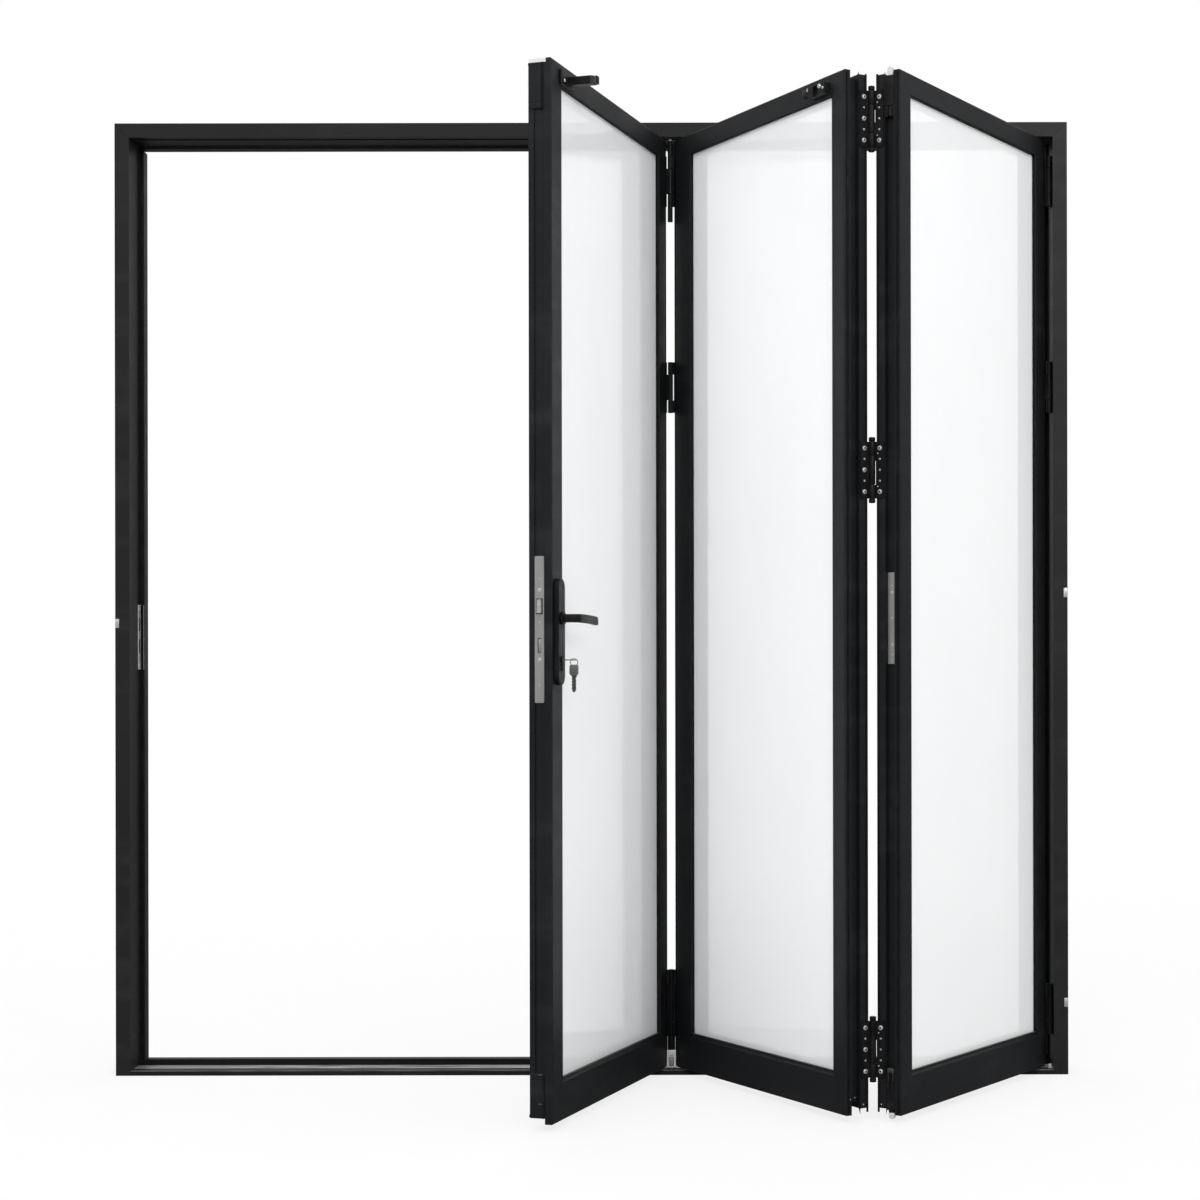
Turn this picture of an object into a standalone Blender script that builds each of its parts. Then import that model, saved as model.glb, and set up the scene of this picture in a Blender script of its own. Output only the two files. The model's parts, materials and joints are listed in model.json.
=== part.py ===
"""Bifold glass patio door: three glazed leaves folded open beside the doorway.

Metres, +Z up. The outside of the door faces -Y and the origin is the middle of
the sill's underside. Each leaf and the outer frame are modelled in a local frame
of their own: x runs left from the right-hand edge as seen from outside, y points
outwards from the outer face, z runs up from the bottom edge.
"""

import math

import bmesh
import bpy
from mathutils import Euler, Matrix, Vector

# Outer frame
FRAME_WIDTH = 2.400
FRAME_HEIGHT = 2.400
FRAME_DEPTH = 0.125
JAMB_FACE = 0.036
HEAD_FACE = 0.036
SILL_FACE = 0.013
JAMB_STOP = 0.012
HEAD_STOP = 0.006
SILL_STOP = 0.013
STOP_DEPTH = 0.031
FIXING_CHANNEL_WIDTH = 0.024
FIXING_CHANNEL_DEPTH = 0.005
FIXING_CHANNEL_PLACE = 0.028
SEAL_GROOVE_WIDTH = 0.004
SEAL_GROOVE_DEPTH = 0.004

# Folding leaves
LEAF_COUNT = 3
LEAF_THICKNESS = 0.060
LEAF_SIDE_GAP = 0.006
LEAF_TOP_GAP = 0.003
LEAF_BOTTOM_GAP = 0.004
FOLD_ANGLE = math.radians(57.8)
LEAD_ANGLE = math.radians(73.4)
STILE_FACE = 0.050
LOCK_STILE_FACE = 0.062
CARRIER_STILE_FACE = 0.076
TOP_RAIL_FACE = 0.050
BOTTOM_RAIL_FACE = 0.094
LIP_THICKNESS = 0.017
FLANGE_THICKNESS = 0.020
EDGE_GROOVE_DEPTH = 0.014
RAIL_GROOVE_DEPTH = 0.019
BOTTOM_GROOVE_DEPTH = 0.028
BOTTOM_FLANGE_RISE = 0.0130
RAIL_FLANGE_DROP = 0.0060
LOCK_GROOVE_DEPTH = 0.0036
LOCK_REBATE_WIDTH = 0.006
LOCK_REBATE_DEPTH = 0.014
EDGE_ROUNDING = 0.003
SIGHT_BEVEL = 0.002
SILL_BEAD_RISE = 0.010
SILL_BEAD_RUN = 0.008
INNER_BEAD_BEVEL = 0.005

# Glass
GLASS_THICKNESS = 0.028
GLASS_SETBACK = 0.009
GLASS_EDGE_COVER = 0.012

# Hinges
HINGE_HEIGHT = 0.128
HINGE_MIDDLE_KNUCKLE = 0.065
HINGE_KNUCKLE_RADIUS = 0.0065
HINGE_PIN_RADIUS = 0.0030
HINGE_PLATE_WIDTH = 0.028
HINGE_PLATE_THICKNESS = 0.0030
HINGE_OFFSET = 0.0100
HINGE_JOINT_GAP = 0.014
HINGE_NOTCH_CLEARANCE = 0.0012
KNUCKLE_SPACING = 0.0006
CARRIER_HEAD_CLEARANCE = 0.0065
HINGE_BOTTOM_RISE = 0.145
HINGE_TOP_DROP = 0.105
FOLD_HINGE_SHARE = 0.618
SIDE_HINGE_SHARE = 0.733

# Track and guide
TRACK_WIDTH = 0.022
TRACK_MOUTH = 0.014
TRACK_HEIGHT = 0.022
TRACK_LIP = 0.003
TRUCK_LENGTH = 0.062
STEM_RADIUS = 0.004
GUIDE_GROOVE_WIDTH = 0.010
GUIDE_GROOVE_DEPTH = 0.009
GUIDE_BLOCK_WIDTH = 0.023
GUIDE_BLOCK_DEPTH = 0.020
GUIDE_BLOCK_LIFT = 0.003
GUIDE_PIN_REACH = 0.0068

# Lock, handle and keys on the lead leaf
LEVER_Z = 1.130
CYLINDER_DROP = 0.092
LOCK_INSET = 0.029
BACKPLATE_HEIGHT = 0.236
BACKPLATE_WIDTH = 0.040
BACKPLATE_THICKNESS = 0.012
BACKPLATE_DROP = 0.030
LEVER_LENGTH = 0.125
LEVER_PROJECTION = 0.055
LEVER_GRIP_THICKNESS = 0.012
LEVER_GRIP_HEIGHT = 0.019
LEVER_NECK_RADIUS = 0.009
LEVER_BEND_RADIUS = 0.0145
LEVER_ROSE_RADIUS = 0.014
LEVER_ROSE_HEIGHT = 0.004
FACEPLATE_HEIGHT = 0.323
FACEPLATE_WIDTH = 0.022
FACEPLATE_THICKNESS = 0.003
FACEPLATE_Z = 1.105
FACEPLATE_SETBACK = 0.0190
LATCH_Z = 1.156
LATCH_HEIGHT = 0.030
LATCH_THICKNESS = 0.0115
LATCH_THROW = 0.010
LATCH_BODY = 0.012
DEADBOLT_Z = 1.070
DEADBOLT_HEIGHT = 0.031
DEADBOLT_THICKNESS = 0.0075
DEADBOLT_DEPTH = 0.020
CYLINDER_RADIUS = 0.0085
CYLINDER_TAIL_HEIGHT = 0.033
CYLINDER_TAIL_WIDTH = 0.010
CYLINDER_PROUD = 0.003
KEY_BOW_RADIUS = 0.0125
KEY_THICKNESS = 0.0022
KEY_SHOULDER = 0.006
KEY_SHANK_WIDTH = 0.0085
KEY_HOLE_RADIUS = 0.0043
KEY_RIM = 0.0020
RING_RADIUS = 0.0100
RING_WIRE_RADIUS = 0.0009
RING_DROP = 0.0070
SPARE_KEY_LAP = 0.0030
SPARE_BLADE_LENGTH = 0.032
KEEP_HEIGHT = 0.164
KEEP_Z = 1.107
KEEP_LEG = 0.022
KEEP_THICKNESS = 0.0016
END_BLOCK_HEIGHT = 0.097
END_BLOCK_WIDTH = 0.034
END_BLOCK_DEPTH = 0.008
END_BLOCK_PROUD = 0.0015
STILE_CAP_HEIGHT = 0.009
STILE_CAP_DEPTH = 0.012
STILE_CAP_SETBACK = 0.013

# Catch that holds the lead leaf to the next one when they are folded
CATCH_INSET = 0.0987
CATCH_DROP = 0.030
CATCH_PLATE_LENGTH = 0.078
CATCH_PLATE_HEIGHT = 0.034
CATCH_PLATE_THICKNESS = 0.006
CATCH_ARM_SIZE = 0.019
CATCH_ARM_LENGTH = 0.066
KEEPER_LENGTH = 0.066
KEEPER_HEIGHT = 0.026
KEEPER_THICKNESS = 0.016
KEEPER_SLOT_DEPTH = 0.007
KEEPER_SLOT_CLEARANCE = 0.0015

# Shoot bolts in the edge of the leaf beside the jamb
BOLT_WIDTH = 0.014
BOLT_THICKNESS = 0.007
BOLT_LENGTH = 0.110
BOLT_PROJECTION = 0.010
BOLT_GUIDE_HEIGHT = 0.094
BOLT_GUIDE_SOLID = 0.038
BOLT_GUIDE_DROP = 0.010
BOLT_CLEARANCE = 0.0006
GEARBOX_PLATE_HEIGHT = 0.206
GEARBOX_PLATE_Z = 1.132
GEARBOX_PLATE_THICKNESS = 0.003

# Small clearances between pieces that touch or slide in the real door
SEAT = 0.0003
SLIDE = 0.0005

# Places worked out from the sizes above
LEAF_PITCH = (FRAME_WIDTH - 2 * JAMB_FACE - HINGE_JOINT_GAP / 2 - LEAF_SIDE_GAP) / LEAF_COUNT
LEAF_WIDTH = LEAF_PITCH - HINGE_JOINT_GAP
LEAD_WIDTH = LEAF_PITCH - HINGE_JOINT_GAP / 2
LEAF_BOTTOM = SILL_FACE + LEAF_BOTTOM_GAP
LEAF_TOP = FRAME_HEIGHT - HEAD_FACE - LEAF_TOP_GAP
LEAF_HEIGHT = LEAF_TOP - LEAF_BOTTOM
HINGE_Z_BOTTOM = LEAF_BOTTOM + HINGE_BOTTOM_RISE
FOLD_HINGE_Z = LEAF_BOTTOM + LEAF_HEIGHT * FOLD_HINGE_SHARE
SIDE_HINGE_Z = LEAF_BOTTOM + LEAF_HEIGHT * SIDE_HINGE_SHARE
HINGE_Z_TOP = LEAF_TOP - HINGE_TOP_DROP
CARRIER_BARREL_HEIGHT = 2 * (LEAF_TOP_GAP + HINGE_TOP_DROP - CARRIER_HEAD_CLEARANCE)
CATCH_REACH = LEAF_PITCH - CATCH_INSET
STOP_FRONT = FRAME_DEPTH - STOP_DEPTH
LEAF_SETBACK = STOP_FRONT - LEAF_THICKNESS - SEAT * 3
AXIS_DEPTH = LEAF_SETBACK - HINGE_OFFSET
AXIS_Y = AXIS_DEPTH - FRAME_DEPTH / 2
JAMB_AXIS_X = FRAME_WIDTH / 2 - JAMB_FACE - HINGE_JOINT_GAP / 2
GROOVE_END = LEAF_THICKNESS - FLANGE_THICKNESS
POCKET_FRONT = GLASS_SETBACK
POCKET_BACK = GLASS_SETBACK + GLASS_THICKNESS + 2 * SEAT
KEY_HOLE_OFFSET = KEY_BOW_RADIUS - KEY_RIM - KEY_HOLE_RADIUS


def material(name, color, roughness, metallic=0.0, transmission=0.0):
    """Return a Principled BSDF material, made once."""
    found = bpy.data.materials.get(name)
    if found:
        return found
    made = bpy.data.materials.new(name)
    made.use_nodes = True
    shader = made.node_tree.nodes["Principled BSDF"]
    shader.inputs["Base Color"].default_value = (*color, 1.0)
    shader.inputs["Roughness"].default_value = roughness
    shader.inputs["Metallic"].default_value = metallic
    shader.inputs["Transmission Weight"].default_value = transmission
    made.diffuse_color = (*color, 1.0)
    return made


def frame_paint():
    return material("frame_black_powder_coat", (0.022, 0.022, 0.024), 0.42)


def leaf_paint():
    return material("leaf_black_powder_coat", (0.018, 0.018, 0.020), 0.38)


def sill_metal():
    return material("sill_worn_aluminium", (0.16, 0.16, 0.16), 0.45, 0.6)


def clear_glass():
    return material("clear_glass", (0.93, 0.95, 0.94), 0.03, 0.0, 0.95)


def hinge_paint():
    return material("hinge_black_paint", (0.020, 0.020, 0.022), 0.35)


def bright_steel():
    return material("bright_steel", (0.62, 0.62, 0.60), 0.30, 1.0)


def brushed_steel():
    return material("brushed_steel", (0.48, 0.48, 0.46), 0.38, 1.0)


def black_plastic():
    return material("black_plastic", (0.015, 0.015, 0.015), 0.55)


def white_plastic():
    return material("white_plastic", (0.85, 0.85, 0.84), 0.45)


def key_metal():
    return material("key_metal", (0.30, 0.30, 0.31), 0.35, 1.0)


def clear_scene():
    """Remove whatever objects the opened file holds."""
    for item in list(bpy.data.objects):
        bpy.data.objects.remove(item, do_unlink=True)


def new_collection(name, visible=True):
    """Return a collection linked to the scene."""
    made = bpy.data.collections.new(name)
    made.hide_render = not visible
    bpy.context.scene.collection.children.link(made)
    return made


def add_object(name, mesh, group, finish=None, parent=None, location=(0, 0, 0), rotation=(0, 0, 0)):
    """Put a mesh in the scene as a named object below its parent empty."""
    made = bpy.data.objects.new(name, mesh)
    group.objects.link(made)
    made.parent = parent
    made.location = location
    made.rotation_euler = Euler(rotation)
    if finish and not mesh.materials:
        mesh.materials.append(finish)
    return made


def add_empty(name, group, parent=None, location=(0, 0, 0), angle=0.0):
    """Add an empty that carries pieces, turned about Z."""
    made = bpy.data.objects.new(name, None)
    made.empty_display_size = 0.05
    group.objects.link(made)
    made.parent = parent
    made.location = location
    made.rotation_euler = Euler((0, 0, angle))
    return made


def mesh_from(bm, name):
    """Close a bmesh into a mesh with its faces pointing out."""
    bmesh.ops.recalc_face_normals(bm, faces=bm.faces[:])
    mesh = bpy.data.meshes.new(name)
    bm.to_mesh(mesh)
    bm.free()
    return mesh


def box_mesh(name, low, high, bevel=0.0, segments=2, bevel_axis=None):
    """Box between two corners, with all edges rounded or only those along one axis."""
    bm = bmesh.new()
    size = Vector(high) - Vector(low)
    middle = (Vector(high) + Vector(low)) / 2
    bmesh.ops.create_cube(bm, size=1.0)
    bmesh.ops.scale(bm, vec=size, verts=bm.verts)
    bmesh.ops.translate(bm, vec=middle, verts=bm.verts)
    if bevel > 0:
        edges = bm.edges[:]
        if bevel_axis is not None:
            edges = [e for e in edges if is_along(e, bevel_axis)]
        bmesh.ops.bevel(bm, geom=edges, offset=bevel, segments=segments, profile=0.5,
                        affect="EDGES", material=-1)
    return mesh_from(bm, name)


def is_along(edge, axis):
    """Tell whether an edge runs along the given axis."""
    run = (edge.verts[1].co - edge.verts[0].co).normalized()
    return abs(run[axis]) > 0.99


def cylinder_mesh(name, radius, low, high, sides=20, radius_top=None, bevel=0.0):
    """Upright cylinder or cone about the Z axis from one height to another."""
    bm = bmesh.new()
    top = radius if radius_top is None else radius_top
    bmesh.ops.create_cone(bm, cap_ends=True, segments=sides, radius1=radius, radius2=top,
                          depth=high - low)
    bmesh.ops.translate(bm, vec=(0, 0, (low + high) / 2), verts=bm.verts)
    if bevel > 0:
        rims = [e for e in bm.edges if abs(e.verts[0].co.z - e.verts[1].co.z) < 1e-7]
        bmesh.ops.bevel(bm, geom=rims, offset=bevel, segments=1, profile=0.5, affect="EDGES",
                        material=-1)
    mesh = mesh_from(bm, name)
    mesh.shade_smooth()
    mesh.set_sharp_from_angle(angle=math.radians(35))
    return mesh


def arc_points(center, radius, start, end, steps):
    """Points along an arc in the plane of an outline."""
    points = []
    for index in range(steps + 1):
        angle = start + (end - start) * index / steps
        points.append((center[0] + radius * math.cos(angle), center[1] + radius * math.sin(angle)))
    return points


def extruded_mesh(name, outline, low, high, bevel=0.0):
    """Solid from a flat outline in XY, extruded from one height to another."""
    curve = bpy.data.curves.new(name + "_outline", "CURVE")
    curve.dimensions = "2D"
    curve.fill_mode = "BOTH"
    curve.extrude = (high - low) / 2
    spline = curve.splines.new("POLY")
    spline.points.add(len(outline) - 1)
    for point, (x, y) in zip(spline.points, outline):
        point.co = (x, y, 0, 1)
    spline.use_cyclic_u = True
    holder = bpy.data.objects.new(name + "_outline", curve)
    bpy.context.scene.collection.objects.link(holder)
    evaluated = holder.evaluated_get(bpy.context.evaluated_depsgraph_get())
    flat = bpy.data.meshes.new_from_object(evaluated)
    bpy.data.objects.remove(holder, do_unlink=True)
    bm = bmesh.new()
    bm.from_mesh(flat)
    bmesh.ops.remove_doubles(bm, verts=bm.verts, dist=1e-6)
    bmesh.ops.dissolve_limit(bm, angle_limit=math.radians(0.5), verts=bm.verts, edges=bm.edges)
    bmesh.ops.translate(bm, vec=(0, 0, (low + high) / 2), verts=bm.verts)
    if bevel > 0:
        rims = [e for e in bm.edges if abs(e.verts[0].co.z - e.verts[1].co.z) < 1e-7]
        bmesh.ops.bevel(bm, geom=rims, offset=bevel, segments=2, profile=0.5, affect="EDGES",
                        material=-1)
    return mesh_from(bm, name)


def cut_with_plane(bm, point, normal):
    """Saw a solid off at a plane and close the cut."""
    geometry = bm.verts[:] + bm.edges[:] + bm.faces[:]
    bmesh.ops.bisect_plane(bm, geom=geometry, dist=1e-7, plane_co=point, plane_no=normal,
                           clear_outer=True)
    rim = [edge for edge in bm.edges if edge.is_boundary]
    bmesh.ops.holes_fill(bm, edges=rim, sides=0)


def mitred_bar_mesh(name, outline, length, start=None, end=None):
    """Extruded bar along Z whose ends are sawn on the line to the neighbour's corner.

    start and end hold this bar's face width and the neighbour's; None leaves a square end.
    """
    bm = bmesh.new()
    bm.from_mesh(extruded_mesh(name, outline, 0.0, length))
    if start:
        normal = Vector((start[1], 0, -start[0])).normalized()
        cut_with_plane(bm, -normal * SEAT / 2, normal)
    if end:
        normal = Vector((end[1], 0, end[0])).normalized()
        cut_with_plane(bm, Vector((0, 0, length)) - normal * SEAT / 2, normal)
    return mesh_from(bm, name)


def joined_mesh(name, meshes):
    """Union of overlapping solids."""
    return combined_mesh(name, meshes[0], meshes[1:], "UNION")


def cut_mesh(name, mesh, cutters):
    """Solid less its cutters."""
    return combined_mesh(name, mesh, cutters, "DIFFERENCE")


def combined_mesh(name, base, others, operation):
    """Run a chain of Booleans and return the finished mesh."""
    holder = bpy.data.objects.new(name + "_base", base)
    bpy.context.scene.collection.objects.link(holder)
    helpers = []
    for index, other in enumerate(others):
        helper = bpy.data.objects.new(f"{name}_tool_{index}", other)
        helper.hide_render = True
        helper.display_type = "WIRE"
        CUTTERS.objects.link(helper)
        step = holder.modifiers.new(f"step_{index}", "BOOLEAN")
        step.operation = operation
        step.solver = "EXACT"
        step.object = helper
        helpers.append(helper)
    evaluated = holder.evaluated_get(bpy.context.evaluated_depsgraph_get())
    mesh = bpy.data.meshes.new_from_object(evaluated)
    mesh.name = name
    mesh.materials.clear()
    for helper in helpers + [holder]:
        bpy.data.objects.remove(helper, do_unlink=True)
    mesh.shade_smooth()
    mesh.set_sharp_from_angle(angle=math.radians(35))
    return mesh


def moved(mesh, matrix):
    """Return the mesh after moving it in place."""
    mesh.transform(matrix)
    mesh.update()
    return mesh


def jamb_outline():
    """Rebated jamb section: x inwards from the outer edge, y out of the wall."""
    reveal = JAMB_FACE
    stop = JAMB_FACE + JAMB_STOP
    groove = reveal + JAMB_STOP / 2
    channel = STOP_FRONT - FIXING_CHANNEL_PLACE
    return [
        (0, 0), (reveal, 0), (reveal, -STOP_FRONT),
        (groove - SEAL_GROOVE_WIDTH / 2, -STOP_FRONT),
        (groove - SEAL_GROOVE_WIDTH / 2, -STOP_FRONT - SEAL_GROOVE_DEPTH),
        (groove + SEAL_GROOVE_WIDTH / 2, -STOP_FRONT - SEAL_GROOVE_DEPTH),
        (groove + SEAL_GROOVE_WIDTH / 2, -STOP_FRONT),
        (stop, -STOP_FRONT), (stop, -FRAME_DEPTH), (0, -FRAME_DEPTH),
        (0, -channel), (FIXING_CHANNEL_DEPTH, -channel),
        (FIXING_CHANNEL_DEPTH, -channel + FIXING_CHANNEL_WIDTH),
        (0, -channel + FIXING_CHANNEL_WIDTH),
    ]


def head_outline():
    """Head section with the hanging track's T slot open below."""
    face = HEAD_FACE
    stop = HEAD_FACE + HEAD_STOP
    roof = face - TRACK_LIP - TRACK_HEIGHT
    lip = face - TRACK_LIP
    return [
        (0, 0), (face, 0),
        (face, -AXIS_DEPTH + TRACK_MOUTH / 2), (lip, -AXIS_DEPTH + TRACK_MOUTH / 2),
        (lip, -AXIS_DEPTH + TRACK_WIDTH / 2), (roof, -AXIS_DEPTH + TRACK_WIDTH / 2),
        (roof, -AXIS_DEPTH - TRACK_WIDTH / 2), (lip, -AXIS_DEPTH - TRACK_WIDTH / 2),
        (lip, -AXIS_DEPTH - TRACK_MOUTH / 2), (face, -AXIS_DEPTH - TRACK_MOUTH / 2),
        (face, -STOP_FRONT), (stop, -STOP_FRONT), (stop, -FRAME_DEPTH), (0, -FRAME_DEPTH),
    ]


def sill_outline():
    """Low sill section with the guide groove and the inner upstand."""
    top = SILL_FACE
    upstand = SILL_FACE + SILL_STOP
    chamfer = SILL_FACE / 5
    return [
        (0, 0), (top - chamfer, 0), (top, -chamfer),
        (top, -AXIS_DEPTH + GUIDE_GROOVE_WIDTH / 2),
        (top - GUIDE_GROOVE_DEPTH, -AXIS_DEPTH + GUIDE_GROOVE_WIDTH / 2),
        (top - GUIDE_GROOVE_DEPTH, -AXIS_DEPTH - GUIDE_GROOVE_WIDTH / 2),
        (top, -AXIS_DEPTH - GUIDE_GROOVE_WIDTH / 2),
        (top, -STOP_FRONT), (upstand, -STOP_FRONT), (upstand, -FRAME_DEPTH + chamfer),
        (upstand - chamfer, -FRAME_DEPTH), (0, -FRAME_DEPTH),
    ]


def leaf_outline(face, groove, flange_drop, bevel_rise, bevel_run):
    """Leaf section: rounded outer lip, edge groove, inner flange and glazing pocket."""
    corner = arc_points((EDGE_ROUNDING, -EDGE_ROUNDING), EDGE_ROUNDING, math.pi, math.pi / 2, 3)
    return [
        *corner,
        (face - bevel_rise, 0), (face, -bevel_run), (face, -POCKET_FRONT),
        (face - GLASS_EDGE_COVER, -POCKET_FRONT), (face - GLASS_EDGE_COVER, -POCKET_BACK),
        (face, -POCKET_BACK), (face, -LEAF_THICKNESS + INNER_BEAD_BEVEL),
        (face - INNER_BEAD_BEVEL, -LEAF_THICKNESS), (flange_drop, -LEAF_THICKNESS),
        (flange_drop, -GROOVE_END), (groove, -GROOVE_END), (groove, -LIP_THICKNESS),
        (0, -LIP_THICKNESS),
    ]


def stile_outline(face):
    return leaf_outline(face, EDGE_GROOVE_DEPTH, 0.0, SIGHT_BEVEL, SIGHT_BEVEL)


def lock_stile_outline():
    """Lock stile section: its edge has a shallow faceplate groove and an inner rebate."""
    face = LOCK_STILE_FACE
    front = FACEPLATE_SETBACK - SEAT
    back = FACEPLATE_SETBACK + FACEPLATE_WIDTH + SEAT
    rebate = LEAF_THICKNESS - LOCK_REBATE_WIDTH
    corner = arc_points((EDGE_ROUNDING, -EDGE_ROUNDING), EDGE_ROUNDING, math.pi, math.pi / 2, 3)
    return [
        *corner,
        (face - SIGHT_BEVEL, 0), (face, -SIGHT_BEVEL), (face, -POCKET_FRONT),
        (face - GLASS_EDGE_COVER, -POCKET_FRONT), (face - GLASS_EDGE_COVER, -POCKET_BACK),
        (face, -POCKET_BACK), (face, -LEAF_THICKNESS + INNER_BEAD_BEVEL),
        (face - INNER_BEAD_BEVEL, -LEAF_THICKNESS), (LOCK_REBATE_DEPTH, -LEAF_THICKNESS),
        (LOCK_REBATE_DEPTH, -rebate), (0, -rebate), (0, -back), (LOCK_GROOVE_DEPTH, -back), (LOCK_GROOVE_DEPTH, -front), (0, -front),
    ]


def build_frame(group):
    """Head and jambs mitred together, and the sill set between the jambs."""
    anchor = add_empty("frame_anchor", group, None, (FRAME_WIDTH / 2, -FRAME_DEPTH / 2, 0), math.pi)
    right = mitred_bar_mesh("right_jamb", jamb_outline(), FRAME_HEIGHT, None,
                            (JAMB_FACE, HEAD_FACE))
    add_object("right_jamb", right, group, frame_paint(), anchor)
    left = mitred_bar_mesh("left_jamb", jamb_outline(), FRAME_HEIGHT, (JAMB_FACE, HEAD_FACE), None)
    add_object("left_jamb", left, group, frame_paint(), anchor, (FRAME_WIDTH, 0, FRAME_HEIGHT),
               (0, math.pi, 0))
    head = mitred_bar_mesh("head", head_outline(), FRAME_WIDTH, (HEAD_FACE, JAMB_FACE),
                           (HEAD_FACE, JAMB_FACE))
    add_object("head", head, group, frame_paint(), anchor, (0, 0, FRAME_HEIGHT),
               (0, math.pi / 2, 0))
    add_object("sill", sill_mesh(), group, sill_metal(), anchor, (FRAME_WIDTH, 0, 0),
               (0, -math.pi / 2, 0))
    return anchor


def sill_mesh():
    """Sill between the jambs, its upstand shortened to clear their stops."""
    bar = extruded_mesh("sill", sill_outline(), JAMB_FACE + SEAT, FRAME_WIDTH - JAMB_FACE - SEAT)
    reach = JAMB_FACE + JAMB_STOP + SEAT
    spare = SILL_STOP
    cutters = []
    for low, high in ((-spare, reach), (FRAME_WIDTH - reach, FRAME_WIDTH + spare)):
        cutters.append(box_mesh("stop_notch", (-spare, -FRAME_DEPTH - spare, low),
                                (SILL_FACE + SILL_STOP + spare, -STOP_FRONT + SEAT, high)))
    return cut_mesh("sill", bar, cutters)


def flange_end_cuts(face, start, end):
    """Boxes that stop a stile's inner flange in line with the flanges of the rails."""
    past = LEAF_THICKNESS
    cuts = []
    for low, high in ((-past, start), (LEAF_HEIGHT - end, LEAF_HEIGHT + past)):
        cuts.append(box_mesh("flange_cut", (-past, -LEAF_THICKNESS - past, low),
                             (face + past, -GROOVE_END - SEAT, high)))
    return cuts


def build_leaf(group, name, anchor, width, right_face, left_face, left_outline=None, left_cuts=(),
               top_cuts=()):
    """Four mitred members round a glass unit, in the leaf's own frame."""
    top = leaf_outline(TOP_RAIL_FACE, RAIL_GROOVE_DEPTH, RAIL_FLANGE_DROP, SIGHT_BEVEL, SIGHT_BEVEL)
    bottom = leaf_outline(BOTTOM_RAIL_FACE, BOTTOM_GROOVE_DEPTH, BOTTOM_FLANGE_RISE, SILL_BEAD_RISE,
                          SILL_BEAD_RUN)
    right_mesh = mitred_bar_mesh(f"{name}_right_stile", stile_outline(right_face), LEAF_HEIGHT,
                                 (right_face, BOTTOM_RAIL_FACE), (right_face, TOP_RAIL_FACE))
    right_cuts = flange_end_cuts(right_face, BOTTOM_FLANGE_RISE, RAIL_FLANGE_DROP)
    right_mesh = cut_mesh(f"{name}_right_stile", right_mesh, right_cuts)
    add_object(f"{name}_right_stile", right_mesh, group, leaf_paint(), anchor)
    left_mesh = mitred_bar_mesh(f"{name}_left_stile", left_outline or stile_outline(left_face),
                                LEAF_HEIGHT, (left_face, TOP_RAIL_FACE),
                                (left_face, BOTTOM_RAIL_FACE))
    left_cuts = flange_end_cuts(left_face, RAIL_FLANGE_DROP, BOTTOM_FLANGE_RISE) + list(left_cuts)
    left_mesh = cut_mesh(f"{name}_left_stile", left_mesh, left_cuts)
    add_object(f"{name}_left_stile", left_mesh, group, leaf_paint(), anchor,
               (width, 0, LEAF_HEIGHT), (0, math.pi, 0))
    top_mesh = mitred_bar_mesh(f"{name}_top_rail", top, width, (TOP_RAIL_FACE, right_face),
                               (TOP_RAIL_FACE, left_face))
    if top_cuts:
        top_mesh = cut_mesh(f"{name}_top_rail", top_mesh, top_cuts)
    add_object(f"{name}_top_rail", top_mesh, group, leaf_paint(), anchor, (0, 0, LEAF_HEIGHT),
               (0, math.pi / 2, 0))
    bottom_mesh = mitred_bar_mesh(f"{name}_bottom_rail", bottom, width,
                                  (BOTTOM_RAIL_FACE, left_face), (BOTTOM_RAIL_FACE, right_face))
    add_object(f"{name}_bottom_rail", bottom_mesh, group, leaf_paint(), anchor, (width, 0, 0),
               (0, -math.pi / 2, 0))
    cover = GLASS_EDGE_COVER - SEAT
    low = (right_face - cover, -POCKET_BACK + SEAT, BOTTOM_RAIL_FACE - cover)
    high = (width - left_face + cover, -POCKET_FRONT - SEAT, LEAF_HEIGHT - TOP_RAIL_FACE + cover)
    add_object(f"{name}_glass", box_mesh(f"{name}_glass", low, high), group, clear_glass(), anchor)


def knuckle_spans(barrel_height):
    """Heights of the outer pair of knuckles and of the middle one, about the hinge's middle."""
    half = HINGE_MIDDLE_KNUCKLE / 2
    gap = KNUCKLE_SPACING / 2
    end = barrel_height / 2
    return [(-end, -half - gap), (half + gap, end)], [(-half + gap, half - gap)]


def hinge_half_mesh(name, spans, pin_height):
    """Plate at +x of the axis reaching to +y, with its own knuckles; the pin where it has one."""
    near = HINGE_JOINT_GAP / 2 - SEAT - HINGE_PLATE_THICKNESS
    far = HINGE_JOINT_GAP / 2 - SEAT
    notch = HINGE_KNUCKLE_RADIUS + HINGE_NOTCH_CLEARANCE
    half = HINGE_HEIGHT / 2
    pieces = [box_mesh("plate", (near, notch, -half), (far, HINGE_PLATE_WIDTH, half),
                       HINGE_PLATE_THICKNESS / 3, 1, 0)]
    for low, high in spans:
        tab_low = max(low, -half)
        tab_high = min(high, half)
        pieces.append(box_mesh("tab", (near, 0, tab_low), (far - SEAT, notch + SLIDE, tab_high)))
        barrel = cylinder_mesh("barrel", HINGE_KNUCKLE_RADIUS, low, high, 20, None,
                               HINGE_KNUCKLE_RADIUS / 10)
        if not pin_height:
            bore = cylinder_mesh("bore", HINGE_PIN_RADIUS + SEAT, 2 * low, 2 * high, 12)
            pieces.append(barrel)
            joined = joined_mesh(name, pieces)
            return cut_mesh(name, joined, [bore])
        pieces.append(barrel)
    pieces.append(cylinder_mesh("pin", HINGE_PIN_RADIUS, -pin_height / 2, pin_height / 2, 12))
    return joined_mesh(name, pieces)


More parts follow.
